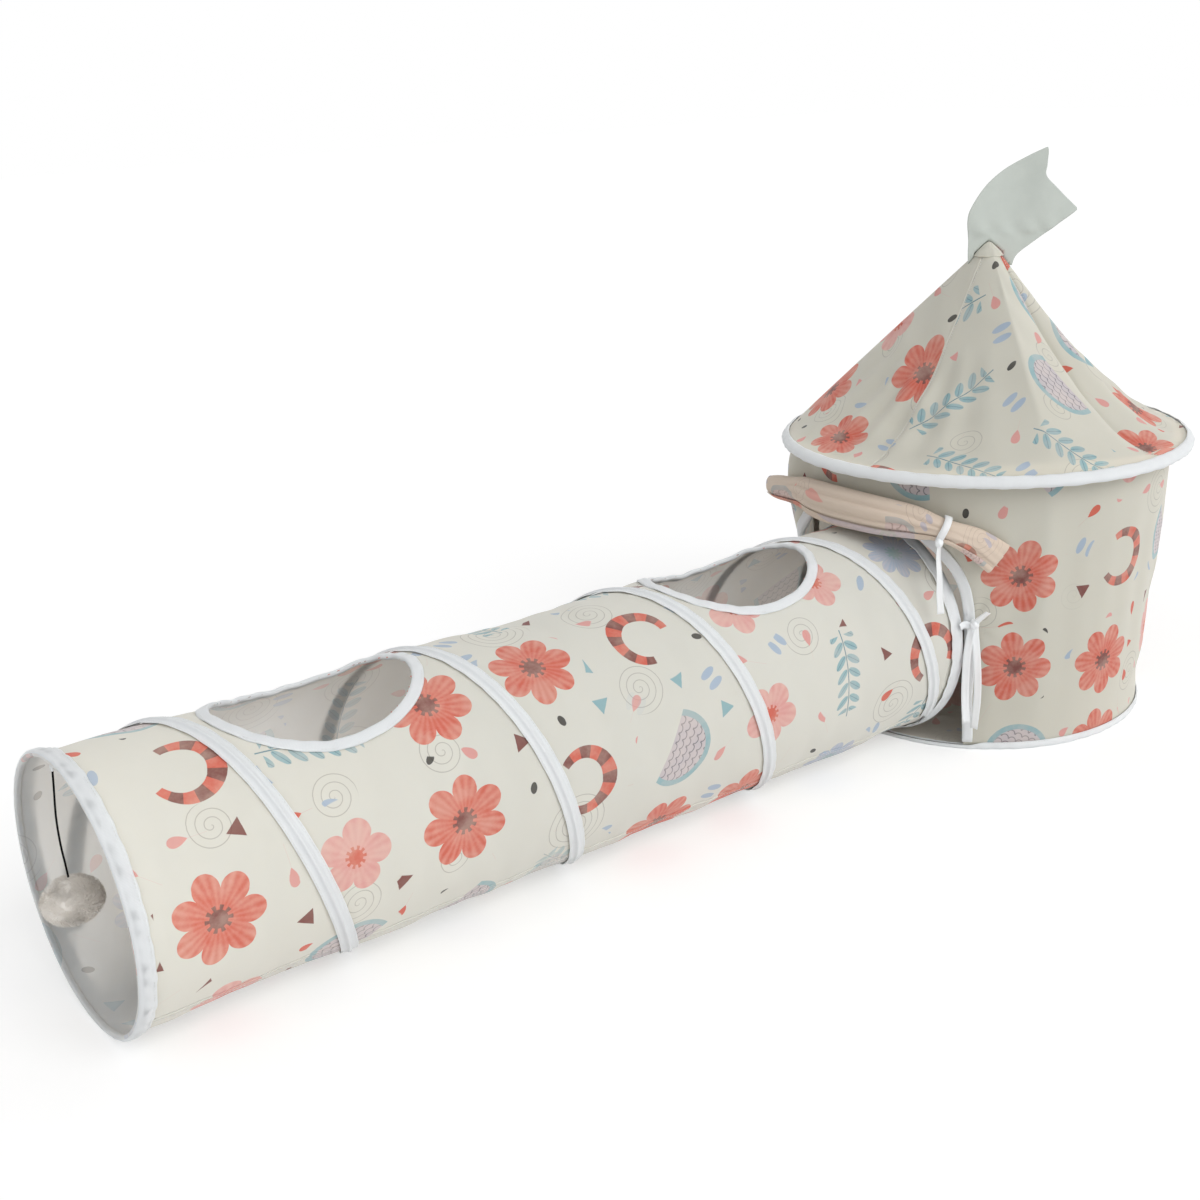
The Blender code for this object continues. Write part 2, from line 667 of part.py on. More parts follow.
def rod_sleeves():
    """Cloth channels sewn inside the wall, one over each wall rod."""
    half, bore = SLEEVE_WIDTH / 2, ROD_DIAMETER / 2 + GAP
    deep = ROD_DIAMETER + 2 * GAP
    for number, angle in enumerate(rod_angles(), 1):
        side = Vector((-math.sin(angle), math.cos(angle), 0.0))
        out = Vector((math.cos(angle), math.sin(angle), 0.0))
        fall = math.tan(TENT_STEP / 2)
        foot = bore + ROD_DIAMETER / 2
        seat = GAP
        inner = [(-half, seat), (-foot, seat), (-bore, deep), (bore, deep), (foot, seat), (half, seat)]
        outer = [(half, seat), (foot + TAPE, seat), (bore + TAPE, deep), (-bore - TAPE, deep),
                 (-foot - TAPE, seat), (-half, seat)]
        sections = []
        for k in range(5):
            z = SLEEVE_BOTTOM + (SLEEVE_TOP - SLEEVE_BOTTOM) * k / 4
            face = wall_rod_line(z, angle) + out * (ROD_DIAMETER / 2 + GAP)
            section = [face + side * s - out * (d + abs(s) * fall) for s, d in inner]
            section += [face + side * s - out * (d + TAPE + abs(s) * fall) for s, d in outer]
            sections.append(section)
        loft(f"rod_sleeve_{number}", sections, "inside")


def roof_gores():
    """Four cloth gores, sewn edge to edge and closed by the cap at the top."""
    sides = TENT_SIDES // GORES
    for gore in range(GORES):
        start = math.radians(GORE_AZIMUTH) + gore * sides * TENT_STEP
        outer, inner = [], []
        for along in roof_stations():
            top_row, low_row = [], []
            for c in range(sides + 1):
                angle = start + c * TENT_STEP
                radius = roof_point(along, 0.0, 0.0).x
                inset = GAP / 2 / max(radius, APEX_OPENING)
                edge = inset if c == 0 else (-inset if c == sides else 0.0)
                dip = Vector((0.0, 0.0, roof_dip(angle, along)))
                top_row.append(roof_point(along, ROOF_SKIN, angle + edge) - dip)
                low_row.append(roof_point(along, ROOF_SKIN - CLOTH, angle + edge) - dip)
            outer.append(top_row)
            inner.append(low_row)
        shell(f"roof_gore_{gore + 1}", outer, inner, "print", False)


def roof_binding():
    """Tape folded over the eave: a channel for the hoop and the hem of the gores."""
    half = CHANNEL / 2
    profile = [(-half - TAPE, half + TAPE), (FLAT_RIM, half + TAPE), (FLAT_RIM, half), (-half, half),
               (-half, -half), (FLAT_RIM, -half), (FLAT_RIM, -half - TAPE), (-half - TAPE, -half - TAPE)]
    sections = [[roof_point(u, n, a) for u, n in profile] for a in tent_angles()]
    loft("roof_binding", sections, "tape", closed=True)


def roof_rods():
    """Flexible rods under the roof cloth, from the wall rods to the hub."""
    out = roof_rod_out()
    for number, angle in enumerate(rod_angles(), 1):
        low = roof_line(WALL_TOP_RADIUS - CLOTH - GAP - ROD_DIAMETER, out)
        high = roof_line(ROD_END_RADIUS, out)
        route = [roof_point(low + (high - low) * k / 4, out, angle) for k in range(5)]
        tube(f"roof_rod_{number}", route, ROD_DIAMETER / 2, "glass_fibre")


def turned(name, profile, sides, kind):
    """A profile of radius and height turned about the tent's axis, closed at both ends."""
    sections = [[polar(r, 2 * math.pi * k / sides, z) for k in range(sides)] for r, z in profile]
    return loft(name, sections, kind)


def apex_hub():
    """The plug that the roof rods meet at."""
    end = roof_point(roof_line(ROD_END_RADIUS, roof_rod_out()), roof_rod_out(), 0.0).z
    radius = ROD_END_RADIUS - ROD_DIAMETER / 2 * math.sin(ROOF_SLOPE) - GAP
    top = end + ROD_DIAMETER / 3
    low = top - HUB_HEIGHT
    chamfered = radius - HUB_CHAMFER
    profile = [(chamfered, low), (radius, low + HUB_CHAMFER), (radius, top - HUB_CHAMFER), (chamfered, top)]
    turned("apex_hub", profile, 24, "plastic")


def cap_height(radius, out):
    return roof_point(roof_line(radius, out), out, 0.0).z


def apex_cap():
    """A small cloth cap sewn over the point of the roof."""
    under, over = ROOF_SKIN + GAP, ROOF_SKIN + GAP + CLOTH
    profile = [(CAP_TIP, under), (CAP_RADIUS, under), (CAP_RADIUS, over), (CAP_TIP, over)]
    sections = [[polar(r, a, cap_height(r, out)) for a in tent_angles()] for r, out in profile]
    loft("apex_cap", sections, "print", closed=True)


def flag():
    """A swallow-tailed pennant of thin stiff cloth, notched to stand on the cap."""
    cap_out = ROOF_SKIN + GAP + CLOTH
    lift = 2 * GAP
    tip = cap_height(0.0, cap_out) + lift
    shoulder = cap_height(FLAG_NOTCH, cap_out) + lift
    outline = [(h * FLAG_REACH, tip + z * FLAG_REACH) for h, z in FLAG_LINE]
    outline += [(FLAG_NOTCH, shoulder), (0.0, tip), (-FLAG_NOTCH, shoulder)]
    turn = math.radians(FLAG_TURN)
    along = Vector((math.cos(turn), math.sin(turn), 0.0))
    face = Vector((-math.sin(turn), math.cos(turn), 0.0))
    front = [along * h + face * (FLAG_CLOTH / 2) + Vector((0, 0, z)) for h, z in outline]
    back = [along * h - face * (FLAG_CLOTH / 2) + Vector((0, 0, z)) for h, z in outline]
    loft("flag", [front, back], "veil")


def roll_route():
    """The rolled flap lies along the wall over the doorway and runs off it at the far end."""
    route = []
    for k, (azimuth, share) in enumerate(ROLL_LINE):
        height = EAVE_HEIGHT - ROLL_DROP - ROLL_HANG * share
        tied = TIE_EASE + RIBBON if k == ROLL_TIE else 0.0
        out = ROLL_RADIUS * ROLL_FORM[k][1] + tied + TAPE + 5 * GAP
        route.append(wall_face(math.radians(azimuth), height, out))
    last, before = route[-1], route[-2]
    off = (last - before).normalized()
    off.z = 0.0
    for share in (0.375, 0.725, 1.0):
        route.append(last + (off + Vector((-0.10, 0.0, -0.12))) * ROLL_RUN_OFF * share)
    return route


def roll_frame(route, k):
    ahead = route[min(k + 1, len(route) - 1)] - route[max(k - 1, 0)]
    ahead.normalize()
    up = Vector((0, 0, 1)) - ahead * ahead.z
    up.normalize()
    return ahead, up, ahead.cross(up)


def door_flap_roll():
    """The door flap, loosely rolled: taller than deep, pinched by its ribbon and flat at its ends."""
    route = roll_route()
    sections = []
    for k, (tall, deep) in enumerate(ROLL_FORM):
        _, up, side = roll_frame(route, k)
        up, side = up * (ROLL_RADIUS * tall), side * (ROLL_RADIUS * deep)
        sections.append([route[k] + up * math.cos(a) + side * math.sin(a)
                         for a in (2 * math.pi * i / ROLL_SIDES for i in range(ROLL_SIDES))])
    loft("door_flap_roll", sections, "print")


def ribbon(name, route, across, kind="tape"):
    """A flat ribbon through a list of points; across gives the direction of its width at each."""
    sections = []
    for k, point in enumerate(route):
        ahead = (route[min(k + 1, len(route) - 1)] - route[max(k - 1, 0)]).normalized()
        wide = (across[k] - ahead * across[k].dot(ahead)).normalized()
        thick = ahead.cross(wide)
        w, t = wide * (RIBBON_WIDTH / 2), thick * (RIBBON / 2)
        sections.append([point - w - t, point + w - t, point + w + t, point - w + t])
    return loft(name, sections, kind)


def knot(name, place, size):
    mesh = bpy.data.meshes.new(name)
    shape = bmesh.new()
    bmesh.ops.create_icosphere(shape, subdivisions=2, radius=size)
    for vertex in shape.verts:
        vertex.co += place
    shape.to_mesh(mesh)
    shape.free()
    mesh.shade_smooth()
    mesh.materials.append(material("tape"))
    obj = bpy.data.objects.new(name, mesh)
    bpy.context.scene.collection.objects.link(obj)
    return obj


def flap_tie():
    """A ribbon round the rolled flap with a knot in front and its tail hanging."""
    route = roll_route()
    ahead, up, side = roll_frame(route, ROLL_TIE)
    centre = route[ROLL_TIE]
    inner = ROLL_RADIUS * ROLL_PINCH + TIE_EASE
    half = RIBBON_WIDTH / 2
    profile = [(-half, inner), (half, inner), (half, inner + RIBBON), (-half, inner + RIBBON)]
    sections = []
    for k in range(18):
        a = 2 * math.pi * k / 18
        out = up * math.cos(a) + side * math.sin(a)
        sections.append([centre + ahead * s + out * r for s, r in profile])
    band = loft("flap_tie", sections, "tape", closed=True)
    front = side if side.dot(centre) > 0 else -side
    place = centre + (front * 0.8 - up * 0.6) * (inner + SMALL_KNOT + RIBBON / 3)
    combine(band, knot("flap_tie_knot", place, SMALL_KNOT), "UNION")
    up = Vector((0, 0, 1))
    points = [place] + [place + (front * a + up * b + ahead * c) * FLAP_TAIL for a, b, c in FLAP_TAIL_LINE]
    combine(band, ribbon("flap_tie_tail", points, [ahead] * len(points)), "UNION")


def tunnel_tie(name, side):
    """A ribbon from the tunnel's end binding to the doorway's edge, knotted, with two hanging tails."""
    angle = math.radians(180 - side * (DOOR_HALF_ANGLE + TUNNEL_TIE_BESIDE))
    out = Vector((math.cos(angle), math.sin(angle), 0.0))
    place = wall_face(angle, TUNNEL_TIE_HEIGHT, GAP + TAPE + GAP + KNOT)
    body = knot(name, place, KNOT)
    ring_y = side * (BAND_OUTER + GAP + RIBBON)
    half = TUNNEL_TIE_DEPTH / 2
    ring = Vector((TENT_X - END_BINDING_WIDTH / 2, ring_y, TUNNEL_TIE_HEIGHT - half))
    hitch = Vector((TENT_X - half, ring_y + side * half / 2, TUNNEL_TIE_HEIGHT))
    up = Vector((0, 0, 1))
    combine(body, ribbon(f"{name}_strap", [ring, hitch, place], [up, up, up]), "UNION")
    aside = Vector((-out.y, out.x, 0.0)) * side
    hang = [(1.0, 0.75, 0.24), (0.75, 1.5, 0.6), (0.5, 1.0, 1.0)]
    long_tail = [place] + [place + (out * a - aside * b) * TUNNEL_TIE_DEPTH - up * TUNNEL_TIE_TAIL * c
                           for a, b, c in hang]
    stick = [(0.28, 0.42, 0.57), (0.5, 0.78, 1.0)]
    short_tail = [place] + [place + (out * a - aside * b + up * c) * TUNNEL_TIE_STUB for a, b, c in stick]
    combine(body, ribbon(f"{name}_long", long_tail, [aside] * 4), "UNION")
    combine(body, ribbon(f"{name}_short", short_tail, [up] * 3), "UNION")


def toy():
    """A puffy ball on an elastic cord, hung from a small loop inside the top of the mouth."""
    x = MOUTH_X + TOY_INSET
    ceiling = tunnel_point(x, (TUNNEL_RADIUS - CLOTH - GAP - TAPE) * math.cos(STEP / 2), math.pi).z - GAP
    half = TOY_LOOP_WIDTH / 2
    loop_low = ceiling - TOY_LOOP
    wide, bore = TOY_LOOP / 2, TOY_LOOP / 2 - TAPE
    centre = Vector((x, 0.0, ceiling - wide))
    sections = []
    for k in range(16):
        a = 2 * math.pi * k / 16
        out = Vector((0.0, math.sin(a), math.cos(a)))
        sections.append([centre + out * r + Vector((s, 0, 0)) for s, r in
                         ((-half, bore), (half, bore), (half, wide), (-half, wide))])
    loft("toy_loop", sections, "tape", closed=True)
    top = loop_low - GAP
    low = top - TOY_CORD_LENGTH
    rows = len(SWAY_LINE) - 1
    route = []
    for k, share in enumerate(SWAY_LINE):
        route.append(Vector((x - TOY_SWAY * share, -TOY_SWAY * share / 3, top + (low - top) * k / rows)))
    tube("toy_cord", route, TOY_CORD / 2, "elastic", resolution=2)
    profile = []
    for k in range(1, 10):
        a = math.pi * k / 10
        profile.append((TOY_BALL_WIDTH / 2 * math.sin(a),
                        low - GAP - TOY_BALL_HEIGHT / 2 * (1 - math.cos(a) / math.cos(math.pi / 10))))
    middle = route[-1].x
    ball = [[Vector((middle + r * math.cos(t), r * math.sin(t), z)) for t in
             (2 * math.pi * k / 16 for k in range(16))] for r, z in profile]
    loft("toy_ball", ball, "fluff")


def build():
    clear_scene()
    tunnel_skin()
    tunnel_spring()
    spring_tape()
    end_binding("mouth_binding", MOUTH_X, 1.0)
    end_binding("tent_end_binding", TENT_X, -1.0)
    hole_bindings()
    tent_floor()
    base_binding()
    ring_wire("base_ring_wire", BASE_WIRE_RADIUS, BASE_WIRE_HEIGHT)
    ring_ferrule("base_ring_ferrule", BASE_WIRE_RADIUS, BASE_WIRE_HEIGHT)
    tent_wall()
    door_binding()
    wall_rods()
    rod_sleeves()
    ring_wire("roof_ring_wire", EAVE_RADIUS, EAVE_HEIGHT)
    ring_ferrule("roof_ring_ferrule", EAVE_RADIUS, EAVE_HEIGHT)
    roof_binding()
    roof_gores()
    roof_rods()
    apex_hub()
    apex_cap()
    flag()
    door_flap_roll()
    flap_tie()
    tunnel_tie("tunnel_tie_right", -1.0)
    tunnel_tie("tunnel_tie_left", 1.0)
    toy()


build()
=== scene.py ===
"""Looks of the folding cat tunnel with its round tent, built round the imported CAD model. Metres, +Z up."""

import json
import math

import bmesh
import bpy
import numpy as np
from mathutils import Matrix, Vector
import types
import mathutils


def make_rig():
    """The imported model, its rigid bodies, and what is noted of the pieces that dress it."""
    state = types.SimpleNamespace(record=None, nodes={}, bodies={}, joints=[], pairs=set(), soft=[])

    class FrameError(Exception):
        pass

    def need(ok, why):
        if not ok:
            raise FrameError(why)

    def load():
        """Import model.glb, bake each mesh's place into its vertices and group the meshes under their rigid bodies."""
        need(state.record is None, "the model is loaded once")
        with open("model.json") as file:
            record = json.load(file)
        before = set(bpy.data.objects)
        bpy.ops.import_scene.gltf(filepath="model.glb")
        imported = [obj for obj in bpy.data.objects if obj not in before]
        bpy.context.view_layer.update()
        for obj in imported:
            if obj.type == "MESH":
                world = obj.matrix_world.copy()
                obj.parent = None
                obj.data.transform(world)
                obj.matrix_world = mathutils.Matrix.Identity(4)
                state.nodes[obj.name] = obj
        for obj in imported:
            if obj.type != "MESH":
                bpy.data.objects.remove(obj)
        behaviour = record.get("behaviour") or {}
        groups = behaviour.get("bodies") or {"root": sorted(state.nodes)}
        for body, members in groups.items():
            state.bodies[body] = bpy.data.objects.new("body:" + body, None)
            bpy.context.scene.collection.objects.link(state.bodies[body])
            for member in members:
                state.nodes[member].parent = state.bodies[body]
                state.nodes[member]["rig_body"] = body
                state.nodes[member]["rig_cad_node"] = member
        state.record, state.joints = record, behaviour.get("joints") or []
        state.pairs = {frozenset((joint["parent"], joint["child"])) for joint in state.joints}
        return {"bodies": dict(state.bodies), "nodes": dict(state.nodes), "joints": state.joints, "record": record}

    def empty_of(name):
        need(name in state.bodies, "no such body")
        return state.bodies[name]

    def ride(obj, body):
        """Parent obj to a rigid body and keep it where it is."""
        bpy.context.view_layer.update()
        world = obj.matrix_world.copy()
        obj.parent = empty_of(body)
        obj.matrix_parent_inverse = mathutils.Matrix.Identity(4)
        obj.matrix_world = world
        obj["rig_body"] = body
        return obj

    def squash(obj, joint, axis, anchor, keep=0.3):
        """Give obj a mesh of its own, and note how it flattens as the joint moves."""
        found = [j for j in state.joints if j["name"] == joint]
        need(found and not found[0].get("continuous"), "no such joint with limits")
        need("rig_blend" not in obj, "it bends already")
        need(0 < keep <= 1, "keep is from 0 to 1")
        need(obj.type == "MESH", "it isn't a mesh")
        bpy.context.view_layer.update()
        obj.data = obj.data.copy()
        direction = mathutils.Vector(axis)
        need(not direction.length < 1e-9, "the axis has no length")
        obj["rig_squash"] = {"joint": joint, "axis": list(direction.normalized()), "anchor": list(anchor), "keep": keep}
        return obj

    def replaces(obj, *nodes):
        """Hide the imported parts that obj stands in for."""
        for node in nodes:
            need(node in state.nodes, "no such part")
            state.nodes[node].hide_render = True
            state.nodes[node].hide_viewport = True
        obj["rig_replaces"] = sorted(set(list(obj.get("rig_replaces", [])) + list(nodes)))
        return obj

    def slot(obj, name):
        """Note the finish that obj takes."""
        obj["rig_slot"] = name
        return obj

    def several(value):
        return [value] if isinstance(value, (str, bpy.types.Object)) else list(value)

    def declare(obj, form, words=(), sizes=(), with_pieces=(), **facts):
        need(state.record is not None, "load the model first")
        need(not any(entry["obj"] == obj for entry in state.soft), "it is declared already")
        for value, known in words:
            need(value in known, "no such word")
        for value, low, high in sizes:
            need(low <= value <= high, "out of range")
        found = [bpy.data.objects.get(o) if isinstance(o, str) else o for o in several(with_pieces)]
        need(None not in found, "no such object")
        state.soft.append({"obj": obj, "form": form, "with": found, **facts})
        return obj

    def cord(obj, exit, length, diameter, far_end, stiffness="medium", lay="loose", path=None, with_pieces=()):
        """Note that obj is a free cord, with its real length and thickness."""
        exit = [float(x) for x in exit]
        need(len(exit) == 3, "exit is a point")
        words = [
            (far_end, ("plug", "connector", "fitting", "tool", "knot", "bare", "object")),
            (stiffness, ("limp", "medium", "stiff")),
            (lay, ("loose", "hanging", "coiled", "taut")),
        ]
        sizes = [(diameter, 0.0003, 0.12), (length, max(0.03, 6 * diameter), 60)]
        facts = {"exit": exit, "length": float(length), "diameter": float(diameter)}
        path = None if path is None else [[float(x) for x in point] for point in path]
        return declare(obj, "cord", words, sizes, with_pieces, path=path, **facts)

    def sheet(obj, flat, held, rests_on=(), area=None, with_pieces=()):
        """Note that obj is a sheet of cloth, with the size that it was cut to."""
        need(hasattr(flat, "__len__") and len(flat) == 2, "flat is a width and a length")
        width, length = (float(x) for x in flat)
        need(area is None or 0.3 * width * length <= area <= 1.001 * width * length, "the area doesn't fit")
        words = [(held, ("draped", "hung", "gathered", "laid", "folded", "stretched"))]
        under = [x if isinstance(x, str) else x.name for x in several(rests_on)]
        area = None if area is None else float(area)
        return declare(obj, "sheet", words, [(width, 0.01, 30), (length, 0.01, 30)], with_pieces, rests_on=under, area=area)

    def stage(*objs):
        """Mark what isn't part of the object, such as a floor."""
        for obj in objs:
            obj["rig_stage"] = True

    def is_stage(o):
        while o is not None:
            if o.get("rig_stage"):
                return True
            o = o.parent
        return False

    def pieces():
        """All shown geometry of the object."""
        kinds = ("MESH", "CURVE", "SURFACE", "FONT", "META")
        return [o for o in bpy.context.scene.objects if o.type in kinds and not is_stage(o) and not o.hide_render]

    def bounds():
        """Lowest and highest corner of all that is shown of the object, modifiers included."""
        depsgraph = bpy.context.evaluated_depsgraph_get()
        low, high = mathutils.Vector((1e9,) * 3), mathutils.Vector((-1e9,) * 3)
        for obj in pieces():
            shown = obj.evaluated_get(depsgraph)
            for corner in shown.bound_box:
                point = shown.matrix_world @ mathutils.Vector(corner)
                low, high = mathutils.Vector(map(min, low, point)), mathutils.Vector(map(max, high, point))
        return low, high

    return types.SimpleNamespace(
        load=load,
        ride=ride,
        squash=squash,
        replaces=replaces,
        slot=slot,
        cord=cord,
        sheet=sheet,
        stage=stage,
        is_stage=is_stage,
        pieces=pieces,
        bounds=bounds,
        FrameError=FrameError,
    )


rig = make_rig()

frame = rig.load()
cad_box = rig.bounds()

# Sizes shared with the CAD model
TUNNEL_RADIUS = 0.1250
TUNNEL_LENGTH = 0.9600
TENT_X = -0.1705
MOUTH_X = TENT_X - TUNNEL_LENGTH
AXIS_HEIGHT = 0.127302
LIFT = 0.001329
RAMP_END = -0.1963
RAMP_LENGTH = 0.15
MOUTH_TURN = -0.057
MOUTH_TURN_REACH = 0.15
COIL_TURNS = 4
COIL_OVERRUN = 0.012
COIL_PITCH = 0.246
COIL_REST = 0.0070
LOOP_STEP = 0.0032
LOOP_BLEND = 0.0040
COIL_WIRE = 0.0022
COIL_TAPE_WIDTH = 0.0175
BAND_OUTER = 0.1284
END_BINDING = 0.0155
HOLE_LONG = 0.0950
HOLE_ARC = 0.0780
HOLE_CENTRES = (-0.89527, -0.40327)
HOLE_BINDING = 0.0095
DOOR_BINDING = 0.0100
CLOTH = 0.0008
WALL_BASE_RADIUS = 0.1951
WALL_TOP_RADIUS = 0.2160
WALL_BOTTOM = 0.0044
WALL_FOOT = 0.0093
WALL_FOLD = 0.0035
WALL_BULGE = 0.0200
BULGE_START = 122.0
BULGE_WIDTH = 36.0
EAVE_HEIGHT = 0.3255
EAVE_RADIUS = 0.2345
APEX_HEIGHT = 0.5497
ROOF_SLOPE = math.atan2(APEX_HEIGHT - EAVE_HEIGHT, EAVE_RADIUS)
ROOF_SAG = 0.0400
ROOF_SAG_SKEW = 0.80
ROOF_SKIN = 0.00195
RIM = 0.0093
RODS = 3
DOOR_HALF = 37.5
DOOR_SPRING = 0.1575
DOOR_HEIGHT = 0.2825
CREASE = -80.5
SEAMS = (-172.5, -82.5, 7.5, 97.5)
TIE_SPOTS = ((219.9, 0.160), (211.0, 0.262), (140.1, 0.160))
ROLL_LINE = ((226, 1.0), (219, 0.588), (211, 0.314), (203, 0.190), (194, 0.150), (185, 0.140),
             (176, 0.140), (167, 0.155), (159, 0.165))
ROLL_FORM = ((1.20, 0.36), (1.05, 0.62), (0.82, 0.82), (1.15, 0.95), (1.34, 1.00), (1.42, 1.00),
             (1.45, 1.00), (1.38, 0.96), (1.20, 0.88), (0.98, 0.80), (0.92, 0.72), (0.74, 0.48))
ROLL_TIE = 2
ROLL_DROP = 0.0365
ROLL_HANG = 0.0510
ROLL_RUN_OFF = 0.0800
ROLL_RADIUS = 0.0160
ROLL_STAND = 0.0021

# Sizes of the looks alone
SHEET_THICK = 0.0006
TAPE_THICK = 0.0005
TAPE_STAND = 0.0003
WALL_MEAN = 0.205
SEAM_TURN = 5.45
SEAM_HALF = 0.0034
SEAM_FORM = ((-1.0, 0.0), (-0.9, 0.0006), (-0.3, 0.0008), (0.4, 0.0007), (0.95, 0.0008), (1.0, 0.0),
             (0.5, -0.0002), (-0.5, -0.0002))
SEAM_STITCH = 0.0022
ROD_RADIUS = 0.0015
CAP_RADIUS = 0.0168
FLOOR_RADIUS = 0.1925
FLAG_THICK = 0.0004
FLAP_KEEP = 0.075
TURN = 2 * math.pi
UP = np.array((0, 0, 1.0))

# The photograph's camera
CAMERA_EYE = (-1.4167, -1.1896, 0.7673)
CAMERA_YAW, CAMERA_PITCH, CAMERA_ROLL = 0.6165, -0.3381, -0.0496
FOCAL_PIXELS, PHOTO_PIXELS, SENSOR = 1527.9, 1200, 36.0


def camera():
    """The photograph's viewing angle: above the tunnel's left side, looking towards the tent."""
    yaw, pitch, roll = CAMERA_YAW, CAMERA_PITCH, CAMERA_ROLL
    forward = Vector((math.sin(yaw) * math.cos(pitch), math.cos(yaw) * math.cos(pitch), math.sin(pitch)))
    right = Vector((math.cos(yaw), -math.sin(yaw), 0.0))
    up = right.cross(forward)
    right, up = (right * math.cos(roll) + up * math.sin(roll), up * math.cos(roll) - right * math.sin(roll))
    data = bpy.data.cameras.new("camera")
    data.sensor_width = SENSOR
    data.lens = FOCAL_PIXELS / PHOTO_PIXELS * SENSOR
    data.clip_start, data.clip_end = 0.05, 60.0
    obj = bpy.data.objects.new("camera", data)
    rows = [(right[i], up[i], -forward[i], CAMERA_EYE[i]) for i in range(3)] + [(0, 0, 0, 1)]
    obj.matrix_world = Matrix(rows)
    bpy.context.scene.collection.objects.link(obj)
    bpy.context.scene.camera = obj


camera()


# Material nodes
class Flow:
    """A number inside a material: arithmetic on it adds math nodes."""

    def __init__(self, tree, socket):
        self.tree, self.socket = tree, socket

    def node(self, kind, *others, clamp=False):
        made = self.tree.nodes.new("ShaderNodeMath")
        made.operation, made.use_clamp = kind, clamp
        for place, value in zip(made.inputs, (self,) + others):
            if isinstance(value, Flow):
                self.tree.links.new(value.socket, place)
            else:
                place.default_value = value
        return Flow(self.tree, made.outputs[0])

    def __add__(self, other):
        return self.node("ADD", other)

    __radd__ = __add__

    def __mul__(self, other):
        return self.node("MULTIPLY", other)

    __rmul__ = __mul__

    def __sub__(self, other):
        return self.node("SUBTRACT", other)

    def __rsub__(self, other):
        return (self * -1.0).node("ADD", other)

    def __truediv__(self, other):
        return self.node("DIVIDE", other)

    def __abs__(self):
        return self.node("ABSOLUTE")

    def sin(self):
        return self.node("SINE")

    def cos(self):
        return self.node("COSINE")

    def floor(self):
        return self.node("FLOOR")

    def fract(self):
        return self.node("FRACT")

    def power(self, other):
        return self.node("POWER", other)

    def most(self, other):
        return self.node("MAXIMUM", other)

    def clamped(self):
        return self.node("ADD", 0.0, clamp=True)

    def under(self, limit, edge=0.0004):
        """1 where this is under the limit and 0 where it is over, with an edge this soft."""
        return ((limit - self) / edge + 0.5).clamped()

    def over(self, limit, edge=0.0004):
        return ((self - limit) / edge + 0.5).clamped()


class Sheet:
    """A material being written: its tree, shader and the calls that most materials share."""

    def __init__(self, name, rough=0.8, metallic=0.0, **fixed):
        self.material = bpy.data.materials.new(name)
        self.material.use_nodes = True
        self.tree = self.material.node_tree
        self.shader = self.tree.nodes["Principled BSDF"]
        self.shader.inputs["Roughness"].default_value = rough
        self.shader.inputs["Metallic"].default_value = metallic
        for key, value in fixed.items():
            self.shader.inputs[key.replace("_", " ")].default_value = value

    def new(self, kind, **settings):
        node = self.tree.nodes.new(kind)
        for key, value in settings.items():
            setattr(node, key, value)
        return node

    def plug(self, value, place):
        if isinstance(value, Flow):
            value = value.socket
        if isinstance(value, (int, float)):
            place.default_value = value
        elif isinstance(value, tuple):
            place.default_value = value if len(value) == 4 or place.type == "VECTOR" else (*value, 1.0)
        else:
            self.tree.links.new(value, place)

    def place(self, kind="UV"):
        return self.new("ShaderNodeTexCoord").outputs[kind]

    def split(self, vector):
        node = self.new("ShaderNodeSeparateXYZ")
        self.plug(vector, node.inputs[0])
        return [Flow(self.tree, out) for out in node.outputs]

    def join(self, x, y, z=0.0):
        node = self.new("ShaderNodeCombineXYZ")
        for value, spot in zip((x, y, z), node.inputs):
            self.plug(value, spot)
        return node.outputs[0]

    def noise(self, vector, scale, detail=3.0, rough=0.5):
        node = self.new("ShaderNodeTexNoise")
        self.plug(vector, node.inputs["Vector"])
        for key, value in (("Scale", scale), ("Detail", detail), ("Roughness", rough)):
            node.inputs[key].default_value = value
        return Flow(self.tree, node.outputs[0])

    def random(self, x, y, seed):
        """Three random numbers and a fourth for each whole-number cell."""
        node = self.new("ShaderNodeTexWhiteNoise", noise_dimensions="3D")
        self.plug(self.join(x, y, seed), node.inputs["Vector"])
        split = self.new("ShaderNodeSeparateColor")
        self.plug(node.outputs["Color"], split.inputs[0])
        return [Flow(self.tree, out) for out in split.outputs[:3]] + [Flow(self.tree, node.outputs["Value"])]

    def mix(self, share, a, b, blend="MIX"):
        node = self.new("ShaderNodeMix", data_type="RGBA", blend_type=blend)
        for value, place in ((share, 0), (a, 6), (b, 7)):
            self.plug(value, node.inputs[place])
        return node.outputs[2]

    def bump(self, height, strength, distance):
        node = self.new("ShaderNodeBump")
        node.inputs["Strength"].default_value = strength
        node.inputs["Distance"].default_value = distance
        self.plug(height, node.inputs["Height"])
        self.plug(node.outputs[0], self.shader.inputs["Normal"])

    def finish(self, colour, rough=None):
        self.plug(colour, self.shader.inputs["Base Color"])
        if rough is not None:
            self.plug(rough, self.shader.inputs["Roughness"])
        return self.material


def srgb(r, g, b):
    """A colour written as it looks, 0 to 255."""
    return tuple(((c / 255 + 0.055) / 1.055) ** 2.4 if c > 10 else c / 255 / 12.92 for c in (r, g, b))


CORAL = srgb(209, 80, 60)
PINK = srgb(226, 148, 143)
BLUE = srgb(160, 178, 200)
TEAL = srgb(132, 172, 180)
MAROON = srgb(112, 44, 42)
BLACK = srgb(36, 36, 38)
CREAM = (223, 220, 207)
TENT_CREAM = (214, 209, 193)
LINE = srgb(176, 170, 158)
VIOLET = srgb(196, 186, 190)


